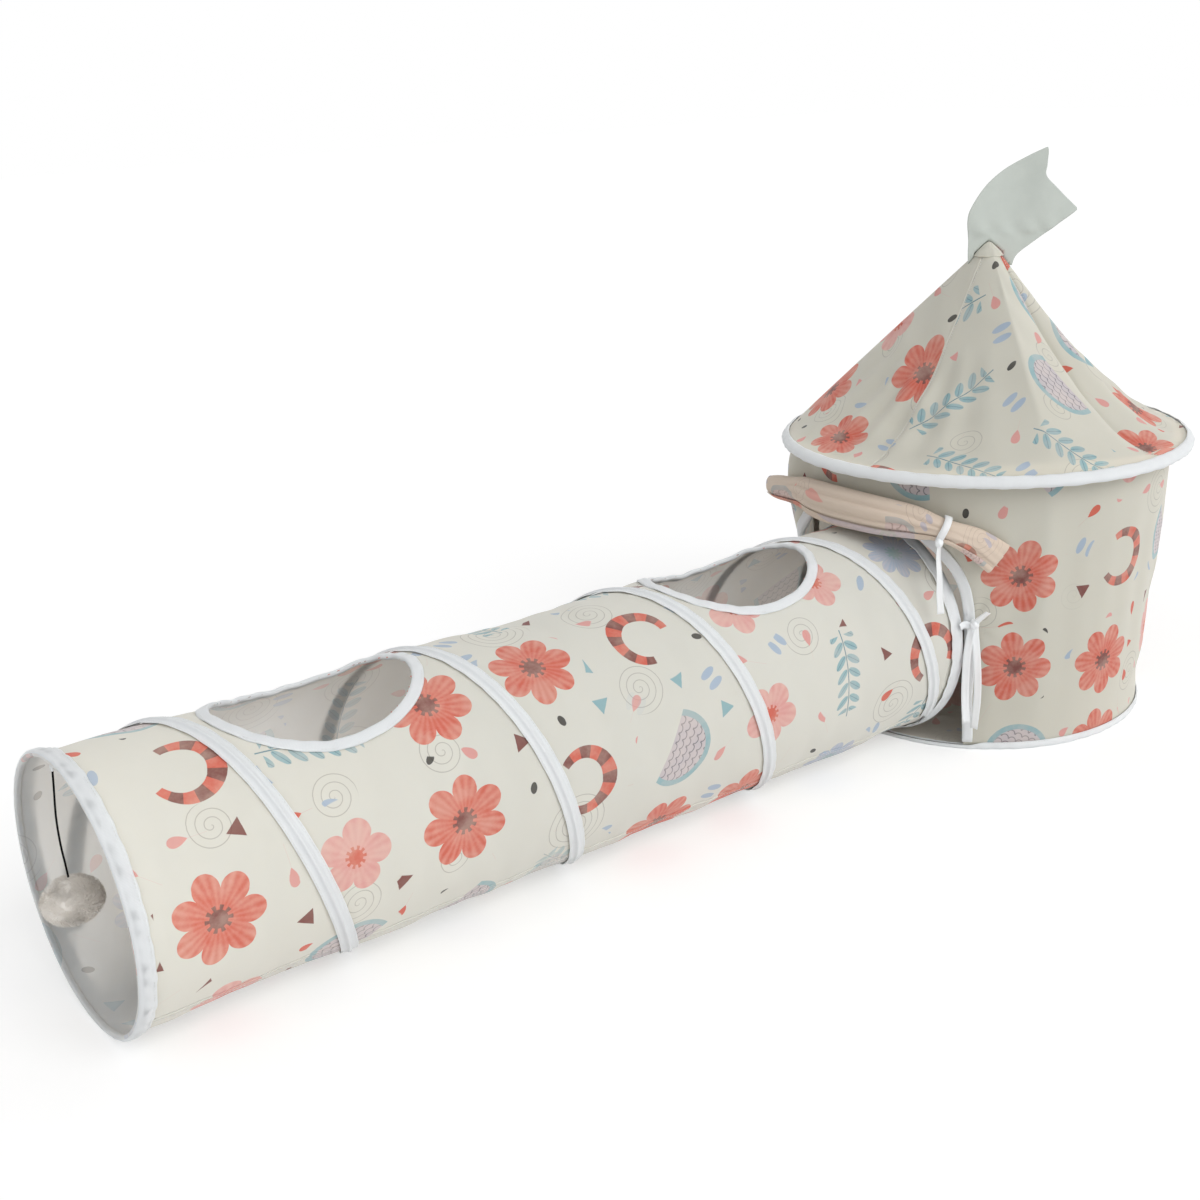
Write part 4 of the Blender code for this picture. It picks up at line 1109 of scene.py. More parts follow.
def tunnel(outside, inside, white, thread, steel):
    skin = dressed(fold_with_tunnel(tunnel_skin(outside, inside)), "tunnel_skin", "print")
    area = TUNNEL_LENGTH * TURN * TUNNEL_RADIUS - TURN * HOLE_LONG * HOLE_ARC
    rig.sheet(skin, flat=(TURN * TUNNEL_RADIUS, TUNNEL_LENGTH), held="stretched",
             rests_on=["spring_tape_cloth"], area=area)
    dressed(fold_with_tunnel(spring_wire(steel)), "tunnel_spring", "steel")
    dressed(fold_with_tunnel(spring_tape(white)), "spring_tape", "tape")
    for row in tape_stitches(thread) + list(lengthwise_seam(outside, thread)):
        fold_with_tunnel(row)
    for number in (1, 2):
        bound(hole_binding(number, white, thread), fold_with_tunnel, f"hole_binding_{number}")
    for name, edge, inward, body in (("mouth_binding", MOUTH_X, 1.0, "tunnel_mouth"),
                                     ("tent_end_binding", TENT_X, -1.0, "tunnel")):
        made = end_binding(name + "_tape", edge, inward, white, thread, inside)
        bound(made, lambda obj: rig.ride(obj, body), name)


# The tent
def polar(radius, angle, z):
    return np.stack(np.broadcast_arrays(radius * np.cos(angle), radius * np.sin(angle), z), axis=-1)


def roof_line(radius, out):
    """How far up the roof's slope a radius lies."""
    return (EAVE_RADIUS + out * math.sin(ROOF_SLOPE) - radius) / math.cos(ROOF_SLOPE)


def roof_height(along, out):
    return EAVE_HEIGHT + along * math.sin(ROOF_SLOPE) + out * math.cos(ROOF_SLOPE)


def roof_radius(along, out):
    return EAVE_RADIUS - along * math.cos(ROOF_SLOPE) + out * math.sin(ROOF_SLOPE)


ROOF_END = roof_line(0.0100, ROOF_SKIN)
WALL_SEAT = roof_line(WALL_TOP_RADIUS, ROOF_SKIN - CLOTH)


def roof_dip(angle, along):
    """How far the roof cloth hangs down between the rods."""
    share = np.clip((along - RIM) / (ROOF_END - RIM), 0.0, 1.0)
    return ROOF_SAG * np.abs(np.sin(RODS * angle / 2)) * np.sin(math.pi * share ** ROOF_SAG_SKEW)


def turn_from(angle, azimuth):
    """Degrees from an azimuth, -180 to 180."""
    return (np.degrees(angle) - azimuth + 180.0) % 360.0 - 180.0


roof_ripple = waves(8, 8.0, 40.0, 21)
wall_ripple = waves(10, 10.0, 46.0, 22)
wall_crinkle = waves(10, 60.0, 150.0, 23)


def roof_cloth(angle, along, out=0.0):
    """A point of the roof's outer face, with its sag, flutes above the eave and the crease at one seam."""
    share = np.clip((along - RIM) / (ROOF_END - RIM), 0.0, 1.0)
    between = np.abs(np.sin(RODS * angle / 2))
    body = np.sin(math.pi * share ** 0.7)
    above_eave = np.sin(math.pi * np.clip(share * 1.5, 0, 1))
    flutes = 0.0030 * above_eave * between * np.sin(19 * angle + 3 * np.sin(2 * angle))
    off = turn_from(angle, CREASE)
    crease = 0.0120 * body * np.where(off < 0, np.exp(off / 5.5), np.exp(-off / 3.0))
    swell = 0.0070 * np.exp(-((off - 17.0) / 11.0) ** 2) * np.sin(math.pi * share ** 1.2)
    still = np.exp(-(np.sin(RODS * angle / 2) / 0.09) ** 2)
    rough = (0.0012 * roof_ripple(along * 3, angle) * (1 - still) + 0.0008 * still) * body
    seam = sum(np.exp(-(turn_from(angle, azimuth) * roof_radius(along, 0.0) * math.pi / 180 / 0.0022) ** 2)
               for azimuth in SEAMS)
    push = out + ROOF_SKIN + flutes + swell + rough - crease - 0.0006 * seam * (body > 0)
    return polar(roof_radius(along, push), angle, roof_height(along, push) - roof_dip(angle, along))


def wall_top(angle):
    return roof_height(WALL_SEAT, ROOF_SKIN - CLOTH) - roof_dip(angle, WALL_SEAT) - 0.0003


def door_size(angle, z):
    """Under 1 inside the doorway's outline, which faces -X."""
    rise = (z - DOOR_SPRING) / (DOOR_HEIGHT - DOOR_SPRING)
    return np.hypot(turn_from(angle, 180.0) / DOOR_HALF, np.clip(rise, 0.0, None))


def wall_lean(z, top):
    """The radius of the plain wall at a height, under this top."""
    return WALL_BASE_RADIUS + (WALL_TOP_RADIUS - WALL_BASE_RADIUS) * ((z - WALL_FOOT) / (top - WALL_FOOT))


def wall_radius(angle, z):
    """The wall with its soft folds, the bulge beside the doorway and creases that run to the ties."""
    top = wall_top(angle)
    share = np.clip((z - WALL_FOOT) / (top - WALL_FOOT), 0.0, 1.0)
    away = np.abs(turn_from(angle, 180.0))
    calm = np.clip((away - DOOR_HALF - 6.0) / 15.0, 0.0, 1.0)
    between = (1 - np.cos(RODS * angle)) / 2
    swell = 0.6 * np.cos(8 * angle + 1.0) - 0.6 + 0.4 * np.cos(5 * angle)
    lean = WALL_BASE_RADIUS + (WALL_TOP_RADIUS - WALL_BASE_RADIUS) * share
    fold = WALL_FOLD * calm * between * swell * np.sin(math.pi * share)
    pulled = np.clip((np.degrees(angle) % 360 - BULGE_START) / BULGE_WIDTH, 0.0, 1.0)
    bulge = WALL_BULGE * np.sin(math.pi * pulled) ** 2 * np.sin(math.pi * share ** 3)
    held = np.sin(math.pi * share) ** 0.6
    soft = 0.0011 * wall_ripple(z, angle) + 0.0004 * wall_crinkle(z, angle)
    hang = 0.0012 * np.sin(31 * angle + 4 * np.sin(3 * angle)) * np.sin(math.pi * share) * between
    off = np.abs((np.degrees(angle) + 60.0) % 120.0 - 60.0)
    still = np.exp(-(off / 3.5) ** 2)
    ridge = 0.0022 * still - 0.0016 * np.exp(-((off - 9.0) / 4.5) ** 2)
    kick = -0.0035 * np.exp(-((share - 0.10) / 0.07) ** 2) * calm * between
    creases = 0.0
    for azimuth, height in TIE_SPOTS:
        dx, dz = turn_from(angle, azimuth) * math.pi / 180 * WALL_MEAN, z - height
        far = np.hypot(dx, dz)
        fading = np.exp(-far / 0.032) * np.clip(far / 0.012, 0, 1)
        creases = creases + 0.0013 * np.sin(9 * np.arctan2(dz, dx)) * fading
    return lean + fold + bulge + held * ((soft + hang) * (1 - still) + ridge) + kick + creases * held


def wall_point(angle, z, offset=0.0):
    return polar(wall_radius(angle, z) + offset, angle, z)


def tent_wall(outside, inside):
    """The wall up to the eave, and its head above it, which folds with the roof."""
    rows, columns, level = 76, 400, 70
    share, angle = round_grid(0, 1, rows, columns)
    start, split = WALL_BOTTOM + 0.0006, level / (rows - 1)
    z = np.where(share <= split, start + (EAVE_HEIGHT - start) * share / split,
                 EAVE_HEIGHT + (wall_top(angle) - 0.0006 - EAVE_HEIGHT) * (share - split) / (1 - split))
    size = door_size(angle, z)
    close = np.abs(size - 1.0) < 0.018
    scale = np.where(close, 1.0 / np.maximum(size, 1e-6), 1.0)
    angle = np.where(close, math.pi + np.radians(turn_from(angle, 180.0) * scale), angle)
    z = np.where(close & (z > DOOR_SPRING), DOOR_SPRING + (z - DOOR_SPRING) * scale, z)
    uv = np.stack([angle * WALL_MEAN, z], -1).reshape(-1, 2)
    spot = np.stack([angle, z], -1).reshape(-1, 2)
    made = list(ring_rows(rows, columns, spot, uv, (TURN * WALL_MEAN, 0.0),
                          lambda azimuth, height: door_size(azimuth, height) < 0.992))
    points = wall_point(angle, z)
    return [cloth_of_rows(name, points, part, (outside, inside))
            for name, part in (("cloth_wall", made[:level]), ("cloth_wall_head", made[level:]))]


def wall_seam(outside, thread):
    """The lapped seam that closes the wall at the back, with its row of stitches."""
    z = np.linspace(0.0120, float(wall_top(np.array(0.0))) - 0.0040, 120)
    sections = [[wall_point(np.array(side * SEAM_HALF / WALL_MEAN), np.array(h), rise)
                 for side, rise in SEAM_FORM] for h in z]

    def spot(r, c):
        return (SEAM_FORM[c % 8][0] + 1.0) * SEAM_HALF, z[min(r, len(z) - 1)]

    strip = swept("wall_seam", sections, spot, outside, closed=False)
    angle = np.full_like(z, SEAM_STITCH / WALL_MEAN)
    line = wall_point(angle, z, 0.0009)
    return strip, stitches("wall_seam_stitches", line, polar(1.0, angle, 0 * z), thread)


def door_path():
    """The doorway's edge, foot to foot, as arc and height, and the direction away from the opening."""
    jamb = np.linspace(WALL_BOTTOM + 0.005, DOOR_SPRING, 34)[:-1]
    arch = np.linspace(0, math.pi, 82)
    straight = np.full(len(jamb), DOOR_HALF)
    off = np.concatenate([straight, DOOR_HALF * np.cos(arch), -straight])
    z = np.concatenate([jamb, DOOR_SPRING + (DOOR_HEIGHT - DOOR_SPRING) * np.sin(arch), jamb[::-1]])
    flat = np.stack([off * math.pi / 180 * WALL_MEAN, z], 1)
    ahead = unit(np.gradient(flat, axis=0))
    return flat, np.stack([ahead[:, 1], -ahead[:, 0]], 1)


def door_binding(white, thread):
    """Slack white tape folded over the doorway's edge."""
    flat, normal = door_path()
    outer = [(1.0, 0.0005), (0.85, 0.0012), (0.6, 0.0014), (0.3, 0.0018), (0.0, 0.0024), (-0.12, 0.0018),
             (-0.20, 0.0)]
    inner = [(-0.14, -0.0022), (0.0, -0.0028), (0.4, -0.0022), (0.8, -0.0018), (1.0, -0.0014)]
    loop, _, width = tape_outline(outer + inner, reach=DOOR_BINDING)
    run = run_along(flat)
    free = 0.5 + np.clip(loop[:, 0] / DOOR_BINDING, 0, 1)
    sections, row = [], []
    for along, spot, out in zip(run, flat, normal):
        slack = 0.0011 * math.sin(along * 95 + 2 * math.sin(along * 23)) + 0.0005 * math.sin(along * 260)
        sway = 0.0009 * math.sin(along * 61 + 1.3)

        def on_wall(grow, offset, lowest=0.0):
            angle = math.pi + (spot[0] + out[0] * (grow + sway)) / WALL_MEAN
            return wall_point(angle, np.maximum(spot[1] + out[1] * (grow + sway), lowest), offset)

        sections.append(on_wall(loop[:, 0], loop[:, 1] + slack * free * 0.5, WALL_BOTTOM + 0.0004))
        row.append(on_wall(np.array(0.84 * DOOR_BINDING), 0.0016 + slack * 0.5))
    run = np.append(run, run[-1])
    band = swept("door_tape", sections, lambda r, c: (run[r], width[c]), white, closed=False)
    row = np.array(row)
    return band, stitches("door_tape_stitches", row, row * (1, 1, 0), thread)


def ring_band(name, profile, place, white, pucker, gathers):
    """Tape round a hoop: an open profile given a thickness and swept round the tent, gathered a little."""
    loop, outward, width = tape_outline(profile, SHEET_THICK)
    count = 300
    sections = []
    for a in full_turn(count):
        swell = pucker * (math.sin(a * gathers + 3 * math.sin(a * 5)) + 0.7 * math.sin(a * 23 + 1))
        spots = loop + outward * swell
        sections.append(place(a, spots[:, 0], spots[:, 1]))
    return swept(name, sections, lambda r, c: (r * TURN * 0.21 / count, width[c]), white)


def foot_binding(white, thread):
    """Tape over the hoop at the tent's foot. Across the doorway it is lower, as a threshold."""
    profile = [(0.1962, 0.0094), (0.1971, 0.0078), (0.1979, 0.0052), (0.1976, 0.0026), (0.1962, 0.0008),
               (0.1935, 0.0003), (0.1910, 0.0006), (0.1898, 0.0022), (0.1894, 0.0050), (0.1899, 0.0092)]

    def place(a, r, z):
        low = 1.0 - smooth_step(abs(turn_from(a, 180.0)), DOOR_HALF + 1.0, DOOR_HALF + 7.5)
        return polar(r, a, np.maximum(z * (1 - 0.50 * low), 0.0002))

    band = ring_band("foot_tape", profile, place, white, 0.0003, 64)
    turns = np.radians(np.linspace(-180 + DOOR_HALF + 8, 180 - DOOR_HALF - 8, 300))
    line = polar(0.1970, turns, 0.0080 + 0 * turns)
    return band, stitches("foot_tape_stitches", line, line * (1, 1, 0), thread)


def eave_binding(white, thread):
    """Puffy tape over the hoop at the eave."""
    profile = [(0.0092, 0.0028), (0.0075, 0.0034), (0.0045, 0.0040), (0.0010, 0.0040), (-0.0020, 0.0030),
               (-0.0034, 0.0010), (-0.0034, -0.0012), (-0.0018, -0.0030), (0.0012, -0.0036),
               (0.0045, -0.0034), (0.0075, -0.0031), (0.0090, -0.0028)]

    def place(a, along, out):
        return polar(roof_radius(along, out), a, roof_height(along, out))

    band = ring_band("eave_tape", profile, place, white, 0.00035, 58)
    turns = np.linspace(0, TURN, 320)
    line = place(turns, 0.0078, 0.0038)
    normals = polar(math.sin(ROOF_SLOPE), turns, math.cos(ROOF_SLOPE) + 0 * turns)
    return band, stitches("eave_tape_stitches", line, normals, thread)


def roof_gore(number, outside, inside):
    rows, columns = 76, 82
    start = math.radians(SEAMS[0] + 90 * (number - 1))
    slope_length = EAVE_RADIUS / math.cos(ROOF_SLOPE)
    alongs = np.linspace(0.0016, ROOF_END, rows)
    inset = 0.0004 / np.maximum(roof_radius(alongs, 0.0), 0.01)[:, None]
    along, turn = np.meshgrid(alongs, np.linspace(0, 1, columns), indexing="ij")
    angle = start + inset + (math.pi / 2 - 2 * inset) * turn
    spread = (angle - start - math.pi / 4) * math.cos(ROOF_SLOPE)
    u = (slope_length - along) * np.sin(spread) + 0.31 * number
    v = (slope_length - along) * np.cos(spread) + 0.17 * number
    faces = grid_faces(rows, columns)
    points = roof_cloth(angle, along, -0.0001)
    return cloth_sheet(f"cloth_gore_{number}", points, faces, corner_uvs(u, v, faces), (outside, inside))


def roof_seam(number, edge, thread):
    """The rounded ridge of a lapped seam between two gores, with its stitching."""
    azimuth, half = math.radians(SEAMS[number - 1]), 0.0011
    profile = [(-1.0, -0.0004), (-0.75, 0.0004), (-0.25, 0.0008), (0.25, 0.0008), (0.75, 0.0004),
               (1.0, -0.0004)]
    sections, line = [], []
    for along in np.linspace(0.0100, ROOF_END - 0.004, 90):
        r = float(roof_radius(along, 0.0))
        sections.append([roof_cloth(np.array(azimuth + s * half / r), np.array(along), h)
                         for s, h in profile])
        line.append(roof_cloth(np.array(azimuth + 0.0026 / r), np.array(along), 0.0003))
    ridge = swept(f"roof_seam_{number}", sections, lambda r, c: (r * 0.0034, c * 0.0005), edge, closed=False)
    normals = np.repeat(polar(math.sin(ROOF_SLOPE), azimuth, math.cos(ROOF_SLOPE))[None], len(line), 0)
    return ridge, stitches(f"roof_seam_{number}_stitches", np.array(line), normals, thread)


def apex_cap(outside, inside):
    """A small round cloth cap sewn flat over the point."""
    rows, columns, stand = 20, 96, ROOF_SKIN + 0.0010
    radius, angle = round_grid(0.0008, CAP_RADIUS, rows, columns)
    hem = 0.0003 * np.sin(9 * angle + 1) * (radius / CAP_RADIUS) ** 3
    rim = -0.0013 * smooth_step(radius, CAP_RADIUS - 0.0040, CAP_RADIUS)
    z = roof_height(roof_line(radius, stand), stand) + hem + rim - 0.0016 * np.exp(-(radius / 0.0030) ** 2)
    faces = grid_faces(rows, columns, across=True) + end_caps(rows, columns)[:1]
    uvs = corner_uvs(radius * np.cos(angle) + 0.34, radius * np.sin(angle) + 0.52, faces)
    return cloth_sheet("cap_cloth", polar(radius, angle, z), faces, uvs, (outside, inside))


def fold_with_tent(obj, keep=0.11):
    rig.ride(obj, "tent_base")
    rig.squash(obj, "tent_fold", axis=(0, 0, 1), anchor=(0, 0, 0), keep=keep)
    return obj


def fold_with_roof(obj):
    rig.ride(obj, "roof")
    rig.squash(obj, "cone_fold", axis=(0, 0, 1), anchor=(0, 0, EAVE_HEIGHT), keep=0.13)
    return obj


def tent(outside, inside, white, thread, edge):
    wall, head = tent_wall(outside, inside)
    fold_with_tent(wall)
    fold_with_roof(head)
    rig.slot(head, "print")
    high = float(wall_top(np.linspace(0, TURN, 241)).mean()) - EAVE_HEIGHT
    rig.sheet(head, flat=(TURN * WALL_TOP_RADIUS, 0.018), held="stretched", rests_on=["eave_tape"],
             area=TURN * WALL_TOP_RADIUS * high)
    dressed(wall, "tent_wall", "print")
    door = 2 * math.radians(DOOR_HALF) * WALL_MEAN * (DOOR_SPRING + (DOOR_HEIGHT - DOOR_SPRING) * math.pi / 4)
    wide, tall = TURN * 0.206, EAVE_HEIGHT - 0.006
    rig.sheet(wall, flat=(wide, tall), held="stretched", rests_on=["foot_tape", "eave_tape"],
             area=wide * tall - door)
    for strip in wall_seam(outside, thread):
        fold_with_tent(strip)
    bound(door_binding(white, thread), fold_with_tent, "door_binding")
    bound(foot_binding(white, thread), lambda obj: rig.ride(obj, "tent_base"), "base_binding")
    bound(eave_binding(white, thread), lambda obj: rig.ride(obj, "roof"), "roof_binding")
    side, spread = EAVE_RADIUS / math.cos(ROOF_SLOPE), math.pi / 2 * math.cos(ROOF_SLOPE)
    for number in range(1, 5):
        gore = dressed(fold_with_roof(roof_gore(number, outside, inside)), f"roof_gore_{number}", "print")
        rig.sheet(gore, flat=(2 * side * math.sin(spread / 2), side), held="stretched", rests_on=["eave_tape"],
                 area=spread / 2 * side * side)
        for strip in roof_seam(number, edge, thread):
            fold_with_roof(strip)
    cap = dressed(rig.ride(apex_cap(outside, inside), "apex"), "apex_cap", "print")
    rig.sheet(cap, flat=(0.041, 0.041), held="stretched", rests_on=["cloth_gore_1"], area=0.0013)


# The rolled flap and the ribbons
def curve_through(points, count):
    """A smooth line through points, evenly spread."""
    points = np.asarray(points, float)
    padded = np.vstack([2 * points[0] - points[1], points, 2 * points[-1] - points[-2]])
    fine = []
    for k in range(len(points) - 1):
        a, b, c, d = padded[k:k + 4]
        for t in np.arange(12) / 12:
            fine.append(0.5 * (2 * b + (c - a) * t + (2 * a - 5 * b + 4 * c - d) * t * t
                               + (3 * b - a - 3 * c + d) * t ** 3))
    fine = np.array(fine + [points[-1]])
    run = run_along(fine)
    return at_spots(np.linspace(0, run[-1], count), run, fine)


def roll_route():
    """The middle line of the rolled flap, which lies on the wall and runs off it at one end."""
    route = []
    for k, (azimuth, share) in enumerate(ROLL_LINE):
        z = EAVE_HEIGHT - ROLL_DROP - ROLL_HANG * share
        out = ROLL_RADIUS * ROLL_FORM[k][1] + ROLL_STAND + (0.0024 if k == ROLL_TIE else 0.0)
        route.append(wall_point(np.array(math.radians(azimuth)), np.array(z), out))
    off = unit(route[-1] - route[-2])
    off[2] = 0.0
    last = route[-1]
    for share in (0.375, 0.725, 1.0):
        route.append(last + (off + (-0.10, 0.0, -0.12)) * ROLL_RUN_OFF * share)
    return np.array(route)


def frames(line):
    """Direction, upward and sideways at each point of a mostly level line."""
    ahead = unit(np.gradient(line, axis=0))
    up = unit(UP - ahead * ahead[:, 2:3])
    return ahead, up, np.cross(ahead, up)


def rolled_flap(cloth):
    """The door flap rolled up loosely: layers at its ends, folds that run into the tie, a free edge."""
    route = roll_route()
    line = curve_through(np.column_stack([route, ROLL_FORM]), 150)
    line, tall, deep = line[:, :3], line[:, 3], line[:, 4]
    _, up, side = frames(line)
    rows, per = len(line), 56
    count = int(2.66 * per)
    phi = np.arange(count) / per * TURN
    theta = phi + 0.14
    inward = 1.0 - 0.34 * (1 - phi / phi[-1])
    lip = np.clip((phi - phi[-1] + 0.35) / 0.35, 0, 1)
    tie = ROLL_TIE / (len(route) - 1)
    sections = []
    for k in range(rows):
        s = k / (rows - 1)
        near = math.exp(-abs(s - tie) / 0.10)
        loose = 1.0 - 0.75 * near
        form = inward + 0.05 * lip * loose
        form = form * (1 + 0.022 * np.sin(3 * theta - 11 * s + 1) + 0.016 * math.sin(15 * s + 1)
                       + 0.012 * np.sin(7 * theta + 21 * s) * loose)
        gather = 0.040 * near * np.sin(13 * theta + 5 * math.sin(9 * s)) * (1 - 0.6 * near)
        high = np.radians(306 - 34 * near) + 0.10 * math.sin(13 * s)
        low = np.radians(226 + 30 * near) + 0.12 * math.sin(11 * s + 2)
        between = np.radians(266 + 7 * math.sin(9 * s))
        for middle, width, amount in ((high, 0.16, 0.22), (low, 0.13, 0.20), (between, 0.12, 0.19)):
            away = (theta - middle + math.pi) % TURN - math.pi
            dent = 0.45 * amount * np.exp(-((away + 2.1 * width) / (1.6 * width)) ** 2)
            fold = amount * np.exp(-(away / width) ** 2) - dent
            form = form - fold * loose * smooth_step(1.0 - s, 0.05, 0.35) * inward ** 2
        radius = ROLL_RADIUS * (form + gather)
        sections.append(line[k] + np.outer(np.cos(theta) * radius * tall[k], up[k])
                        + np.outer(np.sin(theta) * radius * deep[k], side[k]))
    faces = grid_faces(rows, count)
    step = np.linalg.norm(np.diff(line, axis=0), axis=1).mean()
    u, v = np.meshgrid(np.arange(rows) * step, phi * ROLL_RADIUS, indexing="ij")
    uvs = corner_uvs(u + 0.55, v + 0.2, faces)
    return cloth_sheet("flap_cloth", np.array(sections), faces, uvs, (cloth,))


def ribbon(name, points, across, material, wide=0.0085, twist=0.0, wave=0.0):
    """A narrow tape through points, and the line of its middle. across is the direction of its width."""
    thick, cup = 0.0007, 0.0006
    spread = (-1, -0.5, 0, 0.5, 1)
    outline = [(w, 1) for w in spread] + [(w, -1) for w in spread[::-1]]
    line = curve_through(points, max(12, 7 * len(points)))
    sections, middle = [], []
    for k, (spot, way) in enumerate(zip(line, unit(np.gradient(line, axis=0)))):
        share = k / (len(line) - 1)
        flat = unit(across - way * np.dot(across, way))
        face = np.cross(way, flat)
        a = twist * share
        flat, face = flat * math.cos(a) + face * math.sin(a), face * math.cos(a) - flat * math.sin(a)
        centre = spot + face * wave * math.sin(share * 11)
        middle.append([float(x) for x in centre])
        sections.append([centre + flat * (w * wide / 2) + face * (h * thick / 2 - cup * w * w)
                         for w, h in outline])

    def at(r, c):
        return r * 0.004, (c % 10) * wide / 4

    return swept(name, sections, at, material, closed=False), middle


def ball_form(theta, phi, stretch):
    """Points of a ball at these angles, stretched along its three axes."""
    ball = np.stack([np.sin(theta) * np.cos(phi), np.sin(theta) * np.sin(phi), np.cos(theta)], -1)
    return ball * stretch


def knot(name, place, size, ahead, material):
    """A tied knot: a tight lump of crossed turns of tape."""
    rows, columns = 20, 32
    theta, phi = round_grid(0.02, math.pi - 0.02, rows, columns)
    turns = np.abs(np.sin(1.5 * phi + 2.2 * theta)) * np.abs(np.sin(theta)) ** 0.5
    radius = size * (0.78 + 0.26 * turns ** 0.5 + 0.05 * np.sin(5 * phi))
    form = ball_form(theta, phi, (1.0, 0.85, 0.8))
    turn = np.array(Vector(ahead).normalized().to_track_quat("Z", "Y").to_matrix())
    points = (form * radius[..., None]).reshape(-1, 3) @ turn.T + np.asarray(place)
    first, last = end_caps(rows, columns)
    faces = grid_faces(rows, columns, across=True) + [first[::-1], last]
    uvs = tube_uvs(rows, columns, lambda r, c: (r * 0.0006, c * 0.0006))
    obj = new_object(name, points, faces, np.concatenate([uvs, np.zeros((2 * columns, 2))]), (material,))
    drop_loose(obj)
    return obj


def hanging_end(name, points, across, white, wide=0.0085, **form):
    """The free end of a tied ribbon, which hangs from its knot."""
    strip, line = ribbon(name, points, across, white, wide=wide, **form)
    long = float(np.linalg.norm(np.diff(line, axis=0), axis=1).sum())
    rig.slot(strip, "tape")
    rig.cord(strip, exit=line[0], length=round(long, 4), diameter=wide, far_end="bare", stiffness="limp",
            lay="hanging", path=line)
    return strip


def flap_tie(white):
    """A ribbon tied round the rolled flap, and its hanging end."""
    route = roll_route()
    ahead, up, side = (way[ROLL_TIE] for way in frames(route))
    centre, length = route[ROLL_TIE], 0.078
    reach = ROLL_RADIUS * ROLL_FORM[ROLL_TIE][0] + 0.0018
    sections = []
    for t in np.linspace(0, TURN, 40)[:-1]:
        round_roll = (up * math.cos(t) * 1.04 + side * math.sin(t)) * reach
        spot = centre + round_roll + ahead * 0.0012 * math.sin(2 * t)
        out = up * math.cos(t) + side * math.sin(t)
        half = 0.0040 * (1 - 0.35 * abs(math.sin(t * 0.5 + 0.6)) ** 8)
        sections.append([spot + ahead * (w * half) + out * (h * 0.0005) for w, h in
                         ((-1, -1), (-1, 1), (0, 1.4), (1, 1), (1, -1), (0, -0.6))])
    band = swept("flap_tie_band", sections, lambda r, c: (r * 0.003, c * 0.0014), white)
    front = side if side.dot(centre) > 0 else -side
    place = centre + (front * 0.8 - up * 0.6) * (reach + 0.0035)
    lump = knot("flap_tie_knot", place, 0.0056, ahead, white)
    tail = [place] + [place + (front * x + UP * z + ahead * y) * length for x, z, y in
                      ((0.051, -0.256, 0.0), (0.077, -0.577, -0.026), (0.051, -1.0, -0.051))]
    strip = hanging_end("flap_tie_end", tail, ahead * 0.35 + front, white, wide=0.0078, twist=0.9,
                        wave=0.0006)
    return joined("flap_tie_ribbon", [band, lump]), strip


def tunnel_tie(name, side, white):
    """The ribbon that ties the tunnel's end to the doorway's edge, and its two hanging ends."""
    angle = math.radians(180 - side * (DOOR_HALF + 2.4))
    out = np.array((math.cos(angle), math.sin(angle), 0.0))
    aside = np.array((-out[1], out[0], 0.0)) * side
    place = wall_point(np.array(angle), np.array(0.160), 0.0072)
    ring_y = side * (BAND_OUTER + 0.0011)
    ring = np.array((TENT_X - END_BINDING / 2, ring_y, 0.158))
    hitch = np.array((TENT_X - 0.002, ring_y + side * 0.001, 0.160))
    strap, _ = ribbon(name + "_strap", [ring, hitch, (hitch + place) / 2 - UP * 0.0015, place], UP, white)
    lump = knot(name + "_knot", place, 0.0068, aside, white)
    hang = [place + (out * a - aside * b) * 0.004 - UP * 0.125 * c
            for a, b, c in ((0.6, 0.1, 0.03), (1.0, 0.75, 0.24), (0.75, 1.5, 0.6), (0.5, 1.0, 1.0))]
    first = hanging_end(name + "_end_1", [place] + hang, aside + out * 0.4, white, twist=0.8, wave=0.0008)
    other = [place + (out * (a + 0.4) - aside * (b - 2.1)) * 0.004 - UP * 0.118 * c
             for a, b, c in ((0.5, 1.25, 0.07), (0.9, 0.4, 0.3), (0.7, 0.2, 0.65), (0.6, 0.6, 1.0))]
    second = hanging_end(name + "_end_2", [place] + other, aside - out * 0.3, white, twist=-0.7, wave=0.0008)
    stick = [place + (out * a - aside * b + UP * c) * 0.017
             for a, b, c in ((0.2, 0.2, 0.3), (0.36, 0.5, 0.65), (0.5, 0.85, 1.0))]
    short, _ = ribbon(name + "_short", [place] + stick, UP * 0.4 + aside, white, wide=0.0070, twist=0.5)
    return joined(name + "_ribbon", [strap, lump, short]), first, second


# Rods, flag, toy and floor
def wall_sleeve(number, angle, top, lining):
    """The channel of cloth that holds a wall rod, sewn to the wall's inner side."""
    across = np.array((-math.sin(angle), math.cos(angle), 0.0))
    out = np.array((math.cos(angle), math.sin(angle), 0.0))
    profile = [(-0.008, 0.0012), (-0.0045, 0.0016), (-0.0026, 0.0040), (-0.0012, 0.0050), (0.0012, 0.0050),
               (0.0026, 0.0040), (0.0045, 0.0016), (0.008, 0.0012)]
    sections = []
    for z in np.linspace(0.025, 0.300, 60):
        ease = 1.0 + 0.06 * math.sin(z * 120 + number)
        row = []
        for s, deep in profile:
            wall = float(wall_radius(np.array(angle + s / WALL_MEAN), np.array(z)))
            row.append((min(wall_lean(z, top), wall) - deep * ease, s))
        face = [out * r + across * s + UP * z for r, s in row]
        back = [out * (r + TAPE_THICK) + across * s + UP * z for r, s in row[::-1]]
        sections.append(face + back)
    name = f"rod_sleeve_{number}_cloth"
    return swept(name, sections, lambda r, c: (c * 0.002, r * 0.0047), lining, closed=False)


